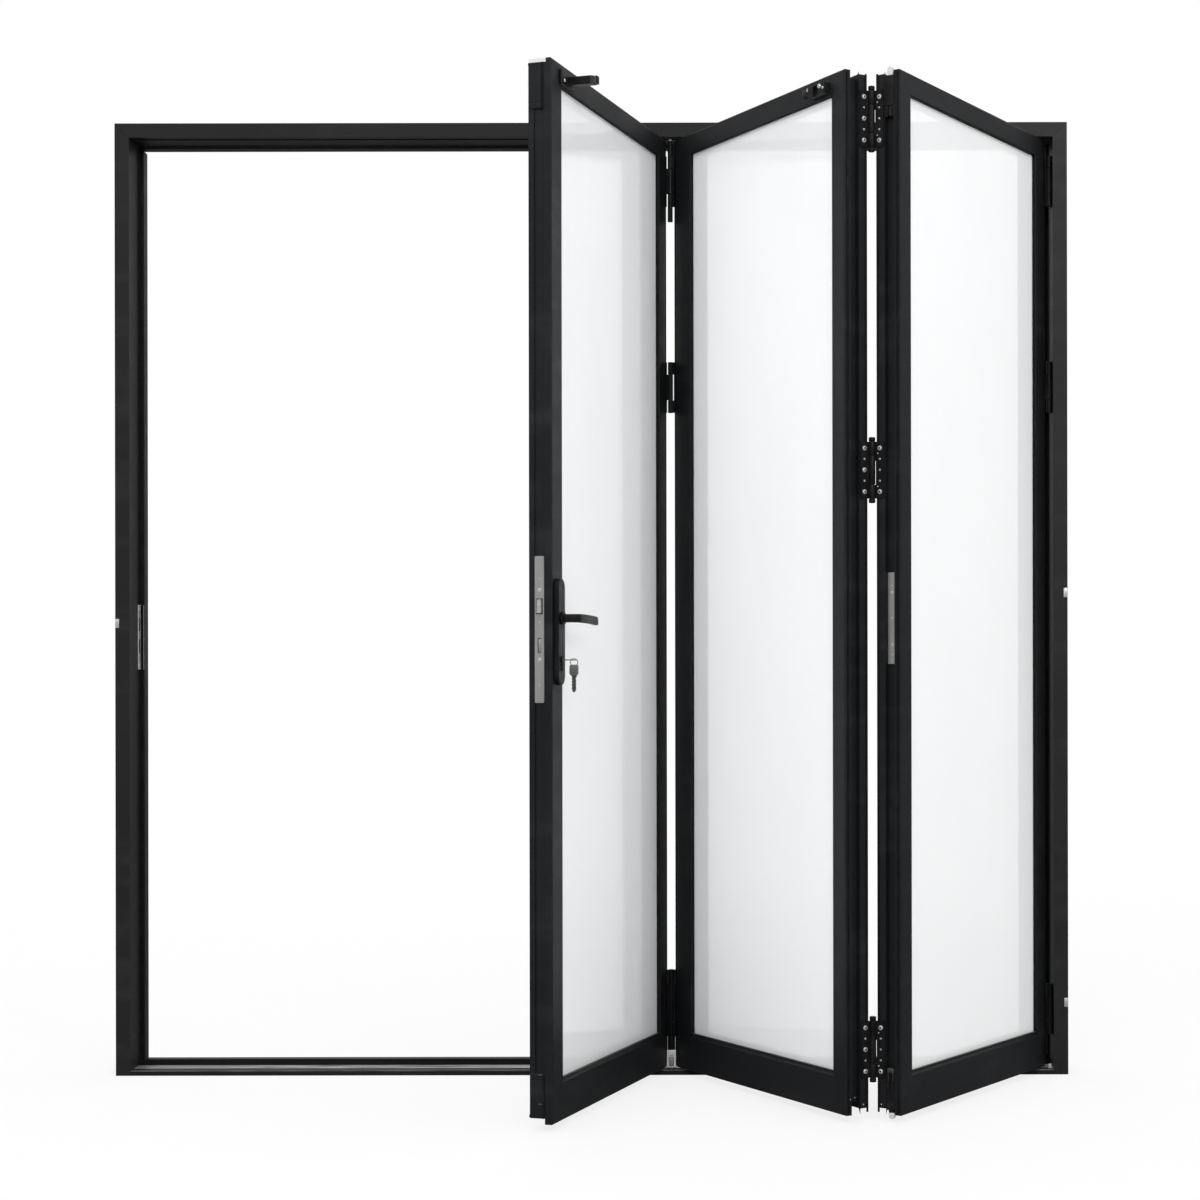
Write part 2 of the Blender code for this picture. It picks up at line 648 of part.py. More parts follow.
HALF_TURNS = {
    (1, 1): (0, 0, 0),
    (-1, -1): (0, 0, math.pi),
    (1, -1): (math.pi, 0, 0),
    (-1, 1): (0, math.pi, 0),
}


def build_hinge(group, label, z, outer_side, middle_side, outer_mesh, middle_mesh):
    """Both halves of a hinge; each side gives its empty, axis place and plate directions."""
    for side, mesh in ((outer_side, outer_mesh), (middle_side, middle_mesh)):
        anchor, piece, x, y, directions, floor = side
        add_object(f"{label}_{piece}", mesh, group, hinge_paint(), anchor, (x, y, z - floor),
                   HALF_TURNS[directions])


def build_hinges(group, frame, lead, centre, jamb_leaf):
    """Three hinges at each joint; those on the travelling joint carry truck and guide."""
    outer_spans, middle_spans = knuckle_spans(HINGE_HEIGHT)
    carrier_spans, _ = knuckle_spans(CARRIER_BARREL_HEIGHT)
    plain = hinge_half_mesh("hinge_outer_half", outer_spans, HINGE_HEIGHT - 2 * KNUCKLE_SPACING)
    carrier = hinge_half_mesh("hinge_carrier_half", carrier_spans,
                              CARRIER_BARREL_HEIGHT - 2 * KNUCKLE_SPACING)
    inner = hinge_half_mesh("hinge_middle_half", middle_spans, 0.0)
    half_gap = HINGE_JOINT_GAP / 2
    outside_y = HINGE_OFFSET
    inside_y = -LEAF_THICKNESS - HINGE_OFFSET
    lead_right = (lead, "lead_leaf_plate", -half_gap, outside_y, (1, -1), LEAF_BOTTOM)
    centre_left = (centre, "centre_leaf_plate", LEAF_WIDTH + half_gap, outside_y, (-1, -1), LEAF_BOTTOM)
    centre_right = (centre, "centre_leaf_plate", -half_gap, inside_y, (1, 1), LEAF_BOTTOM)
    jamb_leaf_left = (jamb_leaf, "jamb_leaf_plate", LEAF_WIDTH + half_gap, inside_y, (-1, 1),
                      LEAF_BOTTOM)
    jamb_leaf_right = (jamb_leaf, "jamb_leaf_plate", -half_gap, outside_y, (1, -1), LEAF_BOTTOM)
    jamb_side = (frame, "jamb_plate", JAMB_FACE + half_gap, -AXIS_DEPTH, (-1, -1), 0.0)
    for level, z, half in (("bottom", HINGE_Z_BOTTOM, carrier), ("middle", SIDE_HINGE_Z, plain),
                           ("top", HINGE_Z_TOP, carrier)):
        build_hinge(group, f"lead_hinge_{level}", z, centre_left, lead_right, half, inner)
    for level, z in (("bottom", HINGE_Z_BOTTOM), ("middle", FOLD_HINGE_Z), ("top", HINGE_Z_TOP)):
        build_hinge(group, f"fold_hinge_{level}", z, jamb_leaf_left, centre_right, plain, inner)
    for level, z in (("bottom", HINGE_Z_BOTTOM), ("middle", SIDE_HINGE_Z), ("top", HINGE_Z_TOP)):
        build_hinge(group, f"jamb_hinge_{level}", z, jamb_side, jamb_leaf_right, plain, inner)


def build_truck(group, axis_x):
    """Roller truck in the head's track, its stem standing on the top carrier hinge."""
    roof = FRAME_HEIGHT - HEAD_FACE + TRACK_LIP + TRACK_HEIGHT - SEAT * 3
    floor = FRAME_HEIGHT - HEAD_FACE + TRACK_LIP + SEAT
    barrel_top = HINGE_Z_TOP + CARRIER_BARREL_HEIGHT / 2
    half = TRACK_WIDTH / 2 - SLIDE
    body = box_mesh("truck_body", (-TRUCK_LENGTH / 2, -half, floor), (TRUCK_LENGTH / 2, half, roof),
                    TRACK_WIDTH / 12)
    stem = cylinder_mesh("truck_stem", STEM_RADIUS, barrel_top + SEAT, floor + TRACK_HEIGHT / 2, 16)
    collar = cylinder_mesh("truck_collar", HINGE_KNUCKLE_RADIUS, barrel_top + SEAT,
                           barrel_top + (floor - barrel_top) / 2, 20)
    mesh = joined_mesh("top_truck", [body, stem, collar])
    add_object("top_truck", mesh, group, brushed_steel(), None, (axis_x, AXIS_Y, 0))


def build_guide(group, axis_x):
    """Bottom guide block below the carrier hinge, its pin in the sill's groove."""
    barrel_bottom = HINGE_Z_BOTTOM - CARRIER_BARREL_HEIGHT / 2
    low = SILL_FACE + GUIDE_BLOCK_LIFT
    high = barrel_bottom - SEAT
    half = GUIDE_BLOCK_WIDTH / 2
    body = box_mesh("guide_body", (-half, -GUIDE_BLOCK_DEPTH / 2, low),
                    (half, GUIDE_BLOCK_DEPTH / 2, high), GUIDE_BLOCK_DEPTH / 12)
    window = box_mesh("guide_window", (-half / 2, -GUIDE_BLOCK_DEPTH, low + half),
                      (half / 2, -GUIDE_BLOCK_DEPTH / 4, high - half))
    pin = cylinder_mesh("guide_pin", STEM_RADIUS, SILL_FACE - GUIDE_PIN_REACH, low + half / 2, 16)
    mesh = cut_mesh("bottom_guide", joined_mesh("guide_joined", [body, pin]), [window])
    add_object("bottom_guide", mesh, group, bright_steel(), None, (axis_x, AXIS_Y, 0))


def lock_stile_cuts():
    """Hollows in the lock stile for the latch, the deadbolt, the end blocks and the cap."""
    middle = FACEPLATE_SETBACK + FACEPLATE_WIDTH / 2
    latch_half = LATCH_THICKNESS / 2 + SLIDE * 2
    bolt_half = DEADBOLT_THICKNESS / 2 + SLIDE
    cuts = [
        stile_cut(LATCH_Z, LATCH_HEIGHT / 2 + SLIDE * 2, middle - latch_half, middle + latch_half,
                  LOCK_GROOVE_DEPTH + LATCH_BODY + LATCH_THROW),
        stile_cut(DEADBOLT_Z, DEADBOLT_HEIGHT / 2 + SLIDE, middle - bolt_half, middle + bolt_half,
                  DEADBOLT_DEPTH),
    ]
    for z in (LEAF_BOTTOM, LEAF_TOP):
        cuts.append(stile_cut(z, END_BLOCK_HEIGHT + 2 * SEAT, FACEPLATE_SETBACK - SEAT,
                              FACEPLATE_SETBACK + END_BLOCK_WIDTH + SEAT, END_BLOCK_DEPTH + SEAT))
    cuts.append(stile_cut(LEAF_TOP, STILE_CAP_HEIGHT + SEAT, STILE_CAP_SETBACK - SEAT,
                          LEAF_THICKNESS * 2, STILE_CAP_DEPTH + SEAT))
    return cuts


def cap_cuts():
    """Notch for the stile's cap in the lead leaf's top rail, in the rail's own frame."""
    past = STILE_CAP_DEPTH
    return [box_mesh("cap_notch",
                     (-past, -LEAF_THICKNESS * 2, LEAD_WIDTH - STILE_CAP_DEPTH - SEAT),
                     (STILE_CAP_HEIGHT + SEAT, -STILE_CAP_SETBACK + SEAT, LEAD_WIDTH + past))]


def stile_cut(z, half_height, front, back, depth):
    """Box sunk into the lock edge, in the left stile's own frame (x in, z down from the top)."""
    level = LEAF_TOP - z
    return box_mesh("edge_cut", (-depth, -back, level - half_height),
                    (depth, -front, level + half_height))


def build_lock_edge(group, lead):
    """Faceplate, spring latch, end blocks and cap on the lead leaf's free edge."""
    middle = FACEPLATE_SETBACK + FACEPLATE_WIDTH / 2
    seat = LEAD_WIDTH - LOCK_GROOVE_DEPTH + SEAT
    level = FACEPLATE_Z - LEAF_BOTTOM
    half = FACEPLATE_HEIGHT / 2
    low = (seat, -FACEPLATE_SETBACK - FACEPLATE_WIDTH, level - half)
    high = (seat + FACEPLATE_THICKNESS, -FACEPLATE_SETBACK, level + half)
    plate = box_mesh("lock_faceplate", low, high, FACEPLATE_THICKNESS, 3, 0)
    holes = []
    for z, height, thickness in ((LATCH_Z, LATCH_HEIGHT, LATCH_THICKNESS),
                                 (DEADBOLT_Z, DEADBOLT_HEIGHT, DEADBOLT_THICKNESS)):
        half_height = height / 2 + SLIDE
        half_width = thickness / 2 + SLIDE
        center = z - LEAF_BOTTOM
        low = (seat - FACEPLATE_THICKNESS, -middle - half_width, center - half_height)
        high = (seat + 2 * FACEPLATE_THICKNESS, -middle + half_width, center + half_height)
        holes.append(box_mesh("hole", low, high))
    add_object("lock_faceplate", cut_mesh("lock_faceplate", plate, holes), group, brushed_steel(),
               lead)
    add_object("latch_bolt", latch_mesh(), group, bright_steel(), lead,
               (LEAD_WIDTH, -middle, LATCH_Z - LEAF_BOTTOM))
    back = FACEPLATE_SETBACK + END_BLOCK_WIDTH
    top = LEAF_HEIGHT - STILE_CAP_HEIGHT - SEAT
    for label, low, high in (("bottom", BOTTOM_FLANGE_RISE, END_BLOCK_HEIGHT),
                             ("top", LEAF_HEIGHT - END_BLOCK_HEIGHT, top - SEAT)):
        block = box_mesh(f"{label}_end_block", (LEAD_WIDTH - END_BLOCK_DEPTH, -back, low),
                         (LEAD_WIDTH + END_BLOCK_PROUD, -FACEPLATE_SETBACK, high),
                         END_BLOCK_PROUD / 2, 2)
        add_object(f"{label}_end_block", block, group, black_plastic(), lead)
    cap_back = LEAF_THICKNESS - LOCK_REBATE_WIDTH
    cap = box_mesh("stile_cap", (LEAD_WIDTH - STILE_CAP_DEPTH, -cap_back, top),
                   (LEAD_WIDTH, -STILE_CAP_SETBACK, LEAF_HEIGHT), END_BLOCK_PROUD / 2, 2)
    add_object("stile_cap", cap, group, white_plastic(), lead)


def latch_mesh():
    """Bevelled spring latch: x along its throw, its slope on the side that meets the keep."""
    half = LATCH_THICKNESS / 2
    outline = [(-LATCH_BODY, -half), (LATCH_THROW / 5, -half), (LATCH_THROW - half / 4, half / 2),
               (LATCH_THROW, half), (-LATCH_BODY, half)]
    return extruded_mesh("latch_bolt", outline, -LATCH_HEIGHT / 2, LATCH_HEIGHT / 2)


def stadium_outline(width, height, steps=10):
    """Upright outline with half-round ends."""
    radius = width / 2
    rise = height / 2 - radius
    upper = arc_points((0, rise), radius, 0, math.pi, steps)
    lower = arc_points((0, -rise), radius, math.pi, 2 * math.pi, steps)
    return upper + lower


def cylinder_outline(extra=0.0):
    """Lock cylinder's outline: a round barrel with a straight tail below it."""
    radius = CYLINDER_RADIUS + extra
    half = CYLINDER_TAIL_WIDTH / 2 + extra
    drop = CYLINDER_TAIL_HEIGHT - CYLINDER_RADIUS + extra
    side = math.asin(half / radius)
    barrel = arc_points((0, 0), radius, side - math.pi / 2, 3 * math.pi / 2 - side, 16)
    tail = arc_points((0, -drop + half), half, math.pi, 2 * math.pi, 6)
    return barrel + tail


def build_handle(group, lead):
    """Backplate, lever on its own axis empty, lock cylinder, key and key ring."""
    x = LEAD_WIDTH - LOCK_INSET
    plate = extruded_mesh("backplate", stadium_outline(BACKPLATE_WIDTH, BACKPLATE_HEIGHT),
                          SEAT, BACKPLATE_THICKNESS, BACKPLATE_THICKNESS / 5)
    keyway = extruded_mesh("keyway", cylinder_outline(SEAT), -BACKPLATE_THICKNESS,
                           BACKPLATE_THICKNESS * 2)
    moved(keyway, Matrix.Translation((0, BACKPLATE_DROP - CYLINDER_DROP, 0)))
    plate = upright(cut_mesh("backplate", plate, [keyway]))
    add_object("backplate", plate, group, leaf_paint(), lead,
               (x, 0, LEVER_Z - BACKPLATE_DROP - LEAF_BOTTOM))
    axis = add_empty("lever_axis", group, lead, (x, 0, LEVER_Z - LEAF_BOTTOM))
    add_object("lever_handle", lever_mesh(), group, leaf_paint(), axis)
    cylinder = extruded_mesh("lock_cylinder", cylinder_outline(), SEAT,
                             BACKPLATE_THICKNESS + CYLINDER_PROUD)
    add_object("lock_cylinder", upright(cylinder), group, brushed_steel(), lead,
               (x, 0, LEVER_Z - CYLINDER_DROP - LEAF_BOTTOM))
    key_level = LEVER_Z - CYLINDER_DROP - LEAF_BOTTOM
    front = BACKPLATE_THICKNESS + CYLINDER_PROUD + SEAT
    add_object("door_key", key_mesh(KEY_SHOULDER), group, key_metal(), lead, (x, front, key_level))
    bow = front + KEY_SHOULDER + KEY_BOW_RADIUS
    add_object("key_ring", ring_mesh(), group, bright_steel(), lead, (x, bow, key_level))


def upright(mesh):
    """Stand a solid drawn in XY on the leaf's face: its height becomes +y, its y becomes z."""
    turn = Matrix(((1, 0, 0, 0), (0, 0, 1, 0), (0, 1, 0, 0), (0, 0, 0, 1)))
    moved(mesh, turn)
    mesh.flip_normals()
    return mesh


def lever_mesh():
    """Lever with a round rose and neck, and a grip that bends towards the hinge side."""
    base = BACKPLATE_THICKNESS + SLIDE
    outer = LEVER_PROJECTION
    inner = LEVER_PROJECTION - LEVER_GRIP_THICKNESS
    radius = LEVER_NECK_RADIUS
    bend = LEVER_BEND_RADIUS
    sag = LEVER_GRIP_THICKNESS / 3
    tip = -LEVER_LENGTH
    outside = arc_points((radius - bend, outer - bend), bend, 0, math.pi / 2, 6)
    top = [(tip / 3, outer), (tip * 2 / 3, outer - sag / 2), (tip, outer - sag * 3 / 2)]
    under = [(tip, inner - sag), (tip * 2 / 3, inner), (tip / 3, inner + sag / 2)]
    inside = arc_points((-radius - bend / 3, inner - bend / 3), bend / 3, math.pi / 2, 0, 3)
    outline = [(radius, base + LEVER_ROSE_HEIGHT), *outside, *top, *under, *inside,
               (-radius, base + LEVER_ROSE_HEIGHT)]
    half = LEVER_GRIP_HEIGHT / 2
    grip = extruded_mesh("grip", outline, -half, half, LEVER_GRIP_THICKNESS / 6)
    rose = cylinder_mesh("rose", LEVER_ROSE_RADIUS, base, base + LEVER_ROSE_HEIGHT * 3 / 2, 28, None,
                         LEVER_ROSE_HEIGHT / 4)
    moved(rose, Matrix.Rotation(-math.pi / 2, 4, "X"))
    return joined_mesh("lever_handle", [grip, rose])


def key_mesh(shoulder):
    """Key whose blade is in the cylinder: a short shank and a round bow with a hole."""
    half = KEY_THICKNESS / 2
    bow_center = shoulder + KEY_BOW_RADIUS
    side = math.asin(KEY_SHANK_WIDTH / 2 / KEY_BOW_RADIUS)
    bow = arc_points((0, bow_center), KEY_BOW_RADIUS, side - math.pi / 2, 3 * math.pi / 2 - side, 20)
    outline = bow + [(-KEY_SHANK_WIDTH / 2, 0), (KEY_SHANK_WIDTH / 2, 0)]
    solid = extruded_mesh("door_key", outline, -half, half)
    hole = cylinder_mesh("key_hole", KEY_HOLE_RADIUS, -KEY_THICKNESS, KEY_THICKNESS, 16)
    moved(hole, Matrix.Translation((0, bow_center + KEY_HOLE_OFFSET, 0)))
    return cut_mesh("door_key", solid, [hole])


def ring_mesh():
    """Key ring hanging in the bow's hole, with the spare key below it as one piece."""
    forward = KEY_HOLE_OFFSET + math.sqrt(RING_RADIUS ** 2 - RING_DROP ** 2)
    turn = Matrix.Rotation(math.pi / 2, 4, "Y")
    ring = moved(torus_mesh("ring", RING_RADIUS, RING_WIRE_RADIUS),
                 Matrix.Translation((0, forward, -RING_DROP)) @ turn)
    drop = RING_DROP + RING_RADIUS + KEY_BOW_RADIUS - SPARE_KEY_LAP
    spare = moved(spare_key_mesh(), Matrix.Translation((0, forward, -drop)) @ turn)
    return joined_mesh("key_ring", [ring, spare])


def torus_mesh(name, major, minor):
    """Ring about Z."""
    bpy.ops.mesh.primitive_torus_add(major_radius=major, minor_radius=minor, major_segments=28,
                                     minor_segments=8)
    holder = bpy.context.object
    mesh = holder.data
    mesh.name = name
    bpy.data.objects.remove(holder, do_unlink=True)
    return mesh


def spare_key_mesh():
    """Hanging key drawn along +x before it is turned to hang down."""
    half = KEY_THICKNESS / 2
    side = math.asin(KEY_SHANK_WIDTH / 2 / KEY_BOW_RADIUS)
    bow = arc_points((0, 0), KEY_BOW_RADIUS, side, 2 * math.pi - side, 20)
    reach = KEY_BOW_RADIUS + SPARE_BLADE_LENGTH
    blade = KEY_SHANK_WIDTH / 2
    outline = bow + [(reach - blade, -blade), (reach, -blade / 4), (reach, blade / 4),
                     (reach - blade, blade)]
    return extruded_mesh("spare_key", outline, -half, half)


def build_keep(group, frame):
    """Angled keep in the left jamb's rebate, facing the latch and the stop."""
    reveal = JAMB_FACE + SEAT
    stop = STOP_FRONT - SEAT
    inner = reveal + KEEP_THICKNESS
    lip = JAMB_FACE + JAMB_STOP - KEEP_THICKNESS
    outline = [(reveal, -stop + KEEP_LEG), (inner, -stop + KEEP_LEG), (inner, -stop + KEEP_THICKNESS),
               (lip, -stop + KEEP_THICKNESS), (lip, -stop), (reveal, -stop)]
    mesh = extruded_mesh("lock_keep", outline, -KEEP_HEIGHT / 2, KEEP_HEIGHT / 2)
    add_object("lock_keep", mesh, group, brushed_steel(), frame, (FRAME_WIDTH, 0, KEEP_Z),
               (0, math.pi, 0))


def build_catch(group, lead, centre):
    """Catch arm on the lead leaf's top rail and the keeper opposite it on the next leaf."""
    x = CATCH_REACH - HINGE_JOINT_GAP / 2
    z = LEAF_HEIGHT - CATCH_DROP
    rise = CATCH_PLATE_HEIGHT / 2
    low = (x - CATCH_PLATE_LENGTH / 3, SEAT, z - rise)
    high = (x + CATCH_PLATE_LENGTH * 2 / 3, CATCH_PLATE_THICKNESS, z + rise)
    plate = box_mesh("catch_plate", low, high, CATCH_PLATE_THICKNESS / 3)
    half = CATCH_ARM_SIZE / 2
    root = CATCH_PLATE_THICKNESS / 2
    outline = [(x - half, root), (x + half, root), (x + half, CATCH_ARM_LENGTH - half),
               (x + half / 3, CATCH_ARM_LENGTH), (x - half, CATCH_ARM_LENGTH)]
    arm = extruded_mesh("catch_arm", outline, z - half, z + half, half / 8)
    add_object("catch_arm", joined_mesh("catch_arm", [plate, arm]), group, hinge_paint(), lead)
    keeper_x = LEAF_WIDTH + HINGE_JOINT_GAP / 2 - CATCH_REACH
    low = (keeper_x - KEEPER_LENGTH / 2, SEAT, z - KEEPER_HEIGHT / 2)
    high = (keeper_x + KEEPER_LENGTH / 2, KEEPER_THICKNESS, z + KEEPER_HEIGHT / 2)
    block = box_mesh("keeper_block", low, high, KEEPER_THICKNESS / 8)
    slot_half = half + KEEPER_SLOT_CLEARANCE
    low = (keeper_x - slot_half, KEEPER_THICKNESS - KEEPER_SLOT_DEPTH, z - slot_half)
    high = (keeper_x + slot_half, KEEPER_THICKNESS * 2, z + slot_half)
    slot = box_mesh("keeper_slot", low, high)
    add_object("catch_keeper", cut_mesh("catch_keeper", block, [slot]), group, black_plastic(),
               centre)


def guide_mesh(name):
    """Bolt guide standing in the edge groove: a solid head over a fork, x out of the edge."""
    half = (GROOVE_END - LIP_THICKNESS) / 2 - SEAT
    low = -EDGE_GROOVE_DEPTH + SEAT
    block = box_mesh("guide_block", (low, -half, -BOLT_GUIDE_HEIGHT), (-SLIDE, half, 0),
                     EDGE_GROOVE_DEPTH / 14)
    center = -EDGE_GROOVE_DEPTH / 2
    bore_x = BOLT_THICKNESS / 2 + BOLT_CLEARANCE
    bore_y = BOLT_WIDTH / 2 + BOLT_CLEARANCE
    past = 2 * BOLT_GUIDE_HEIGHT
    bore = box_mesh("guide_bore", (center - bore_x, -bore_y, -past), (center + bore_x, bore_y, past))
    mouth = box_mesh("guide_mouth", (center, -BOLT_WIDTH / 4, -past),
                     (past, BOLT_WIDTH / 4, -BOLT_GUIDE_SOLID))
    return cut_mesh(name, block, [bore, mouth])


def bolt_mesh(name):
    """Shoot bolt with a rounded nose at z = 0, running down from it."""
    half = BOLT_WIDTH / 2
    nose = arc_points((0, -half), half, 0, math.pi, 10)
    outline = nose + [(-half, -BOLT_LENGTH), (half, -BOLT_LENGTH)]
    mesh = extruded_mesh(name, outline, -BOLT_THICKNESS / 2, BOLT_THICKNESS / 2)
    turn = Matrix(((0, 0, 1, 0), (1, 0, 0, 0), (0, 1, 0, 0), (0, 0, 0, 1)))
    return moved(mesh, turn)


def build_bolts(group, leaf):
    """Shoot bolts, their guides and the gearbox plate in the left edge of the jamb leaf."""
    middle = -(LIP_THICKNESS + GROOVE_END) / 2
    center_x = LEAF_WIDTH - EDGE_GROOVE_DEPTH / 2
    for label, end in (("top", LEAF_HEIGHT), ("bottom", 0.0)):
        sign = 1 if label == "top" else -1
        guide = guide_mesh(f"{label}_bolt_guide")
        bolt = bolt_mesh(f"{label}_shoot_bolt")
        if label == "bottom":
            guide = flipped(guide)
            bolt = flipped(bolt)
        add_object(f"{label}_bolt_guide", guide, group, black_plastic(), leaf,
                   (LEAF_WIDTH, middle, end - sign * BOLT_GUIDE_DROP))
        add_object(f"{label}_shoot_bolt", bolt, group, white_plastic(), leaf,
                   (center_x, middle, end + sign * BOLT_PROJECTION))
    half = (GROOVE_END - LIP_THICKNESS) / 2 - SEAT
    level = GEARBOX_PLATE_Z - LEAF_BOTTOM
    rise = GEARBOX_PLATE_HEIGHT / 2
    seat = LEAF_WIDTH - EDGE_GROOVE_DEPTH + SEAT
    plate = box_mesh("gearbox_plate", (seat, middle - half, level - rise),
                     (seat + GEARBOX_PLATE_THICKNESS, middle + half, level + rise),
                     GEARBOX_PLATE_THICKNESS / 4)
    add_object("gearbox_plate", plate, group, brushed_steel(), leaf)


def flipped(mesh):
    """Turn a piece upside down about the middle of its own width."""
    moved(mesh, Matrix.Scale(-1, 4, (0, 0, 1)))
    mesh.flip_normals()
    return mesh


def leaf_places():
    """Axis points of the three joints, seen from above, with the leaves folded out."""
    jamb = Vector((JAMB_AXIS_X, AXIS_Y))
    jamb_run = Vector((-math.cos(FOLD_ANGLE), -math.sin(FOLD_ANGLE)))
    jamb_out = Vector((math.sin(FOLD_ANGLE), -math.cos(FOLD_ANGLE)))
    fold = jamb + jamb_run * LEAF_PITCH - jamb_out * (LEAF_THICKNESS + 2 * HINGE_OFFSET)
    lead = Vector((2 * fold.x - jamb.x, AXIS_Y))
    return jamb, fold, lead


def leaf_anchor(group, name, axis, angle, across, outwards):
    """Empty at a leaf's lower right corner on its outer face."""
    run = Vector((math.cos(angle), math.sin(angle)))
    out = Vector((-math.sin(angle), math.cos(angle)))
    place = axis + run * across + out * outwards
    return add_empty(name, group, None, (place.x, place.y, LEAF_BOTTOM), angle)


def build_door():
    """Build the whole door."""
    clear_scene()
    group = new_collection("bifold_glass_patio_door")
    frame = build_frame(group)
    jamb_axis, fold_axis, lead_axis = leaf_places()
    half_gap = HINGE_JOINT_GAP / 2
    jamb_leaf = leaf_anchor(group, "jamb_leaf_anchor", jamb_axis, math.pi + FOLD_ANGLE, half_gap,
                            -HINGE_OFFSET)
    centre_leaf = leaf_anchor(group, "centre_leaf_anchor", fold_axis, math.pi - FOLD_ANGLE, half_gap,
                              LEAF_THICKNESS + HINGE_OFFSET)
    lead_leaf = leaf_anchor(group, "lead_leaf_anchor", lead_axis, math.pi + LEAD_ANGLE, half_gap,
                            -HINGE_OFFSET)
    build_leaf(group, "jamb_leaf", jamb_leaf, LEAF_WIDTH, STILE_FACE, STILE_FACE)
    build_leaf(group, "centre_leaf", centre_leaf, LEAF_WIDTH, STILE_FACE, CARRIER_STILE_FACE)
    build_leaf(group, "lead_leaf", lead_leaf, LEAD_WIDTH, STILE_FACE, LOCK_STILE_FACE,
               lock_stile_outline(), lock_stile_cuts(), cap_cuts())
    build_hinges(group, frame, lead_leaf, centre_leaf, jamb_leaf)
    build_truck(group, lead_axis.x)
    build_guide(group, lead_axis.x)
    build_lock_edge(group, lead_leaf)
    build_handle(group, lead_leaf)
    build_keep(group, frame)
    build_catch(group, lead_leaf, centre_leaf)
    build_bolts(group, jamb_leaf)


CUTTERS = new_collection("cutters", False)
build_door()
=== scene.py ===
"""Dresses the bifold patio door: finishes, glazing, seals, screws, lock, keys and the studio.

Run as a script, it loads the fixed frame, registers one operator for each group of pieces and
calls them in order. Metres, +Z up; the outside of the door faces -Y.
"""

import json
import math

import bmesh
import bpy
from bpy.props import FloatProperty, FloatVectorProperty, PointerProperty
from mathutils import Matrix, Vector


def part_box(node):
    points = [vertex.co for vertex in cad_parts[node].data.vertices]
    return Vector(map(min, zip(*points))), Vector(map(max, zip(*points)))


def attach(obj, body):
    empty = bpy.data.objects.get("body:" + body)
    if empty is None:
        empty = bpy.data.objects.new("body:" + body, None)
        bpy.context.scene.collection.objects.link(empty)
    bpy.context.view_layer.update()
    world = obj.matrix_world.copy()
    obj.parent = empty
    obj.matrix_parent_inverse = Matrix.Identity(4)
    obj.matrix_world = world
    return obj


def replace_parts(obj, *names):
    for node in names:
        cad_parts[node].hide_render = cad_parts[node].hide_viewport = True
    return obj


bl_info = {
    "name": "Patio Door Dressing",
    "version": (1, 0, 0),
    "blender": (4, 5, 0),
    "location": "3D View > Sidebar > Patio Door",
    "description": "Finishes, glazing, seals, fittings and studio for a folding patio door",
    "category": "Object",
}

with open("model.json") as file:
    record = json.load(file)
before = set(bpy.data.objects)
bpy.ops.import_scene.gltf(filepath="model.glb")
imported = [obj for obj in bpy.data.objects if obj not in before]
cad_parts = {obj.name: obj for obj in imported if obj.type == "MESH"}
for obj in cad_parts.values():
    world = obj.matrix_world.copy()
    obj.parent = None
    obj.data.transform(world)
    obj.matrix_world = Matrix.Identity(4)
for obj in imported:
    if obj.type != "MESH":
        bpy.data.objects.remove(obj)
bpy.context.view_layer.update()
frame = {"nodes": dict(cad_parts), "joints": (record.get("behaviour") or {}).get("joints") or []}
NODES = frame["nodes"]

LEAVES = ("lead_leaf", "centre_leaf", "jamb_leaf")
LEAF_MEMBERS = ("left_stile", "right_stile", "top_rail", "bottom_rail")
FRAME_MEMBERS = ("left_jamb", "right_jamb", "head")
LEVELS = ("bottom", "middle", "top")
# Leaf edges whose hinge barrels stand on the side of the room
FOLD_EDGES = (("centre_leaf", "right"), ("jamb_leaf", "left"))

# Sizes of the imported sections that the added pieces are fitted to
JAMB_FACE = 0.036
JAMB_STOP = 0.012
HEAD_FACE = 0.036
STOP_DEPTH = 0.031
SILL_FACE = 0.013
EDGE_COVER = 0.0117
LEAF_THICKNESS = 0.060
LIP_THICKNESS = 0.017
EDGE_GROOVE_DEPTH = 0.014
HINGE_OFFSET = 0.0100
HINGE_GAP = 0.014
PLATE_FACE = 0.0033
SCREW_LINE = 0.0101
LARGE_HEAD = 0.0026
SMALL_HEAD = 0.0016
SOCKET_SHADE_SHARE = 0.58
HALF_KNUCKLE = 0.0325
BARREL_RADIUS = 0.0065
SEAT = 0.0003


def colour_prop(name, description, default):
    return FloatVectorProperty(name=name, description=description, subtype="COLOR", size=3,
                               min=0.0, max=1.0, default=default)


def length_prop(name, description, default):
    return FloatProperty(name=name, description=description, default=default, min=0.0,
                         unit="LENGTH", precision=4)


def share_prop(name, description, default):
    return FloatProperty(name=name, description=description, default=default, min=0.0, max=1.0,
                         subtype="FACTOR")


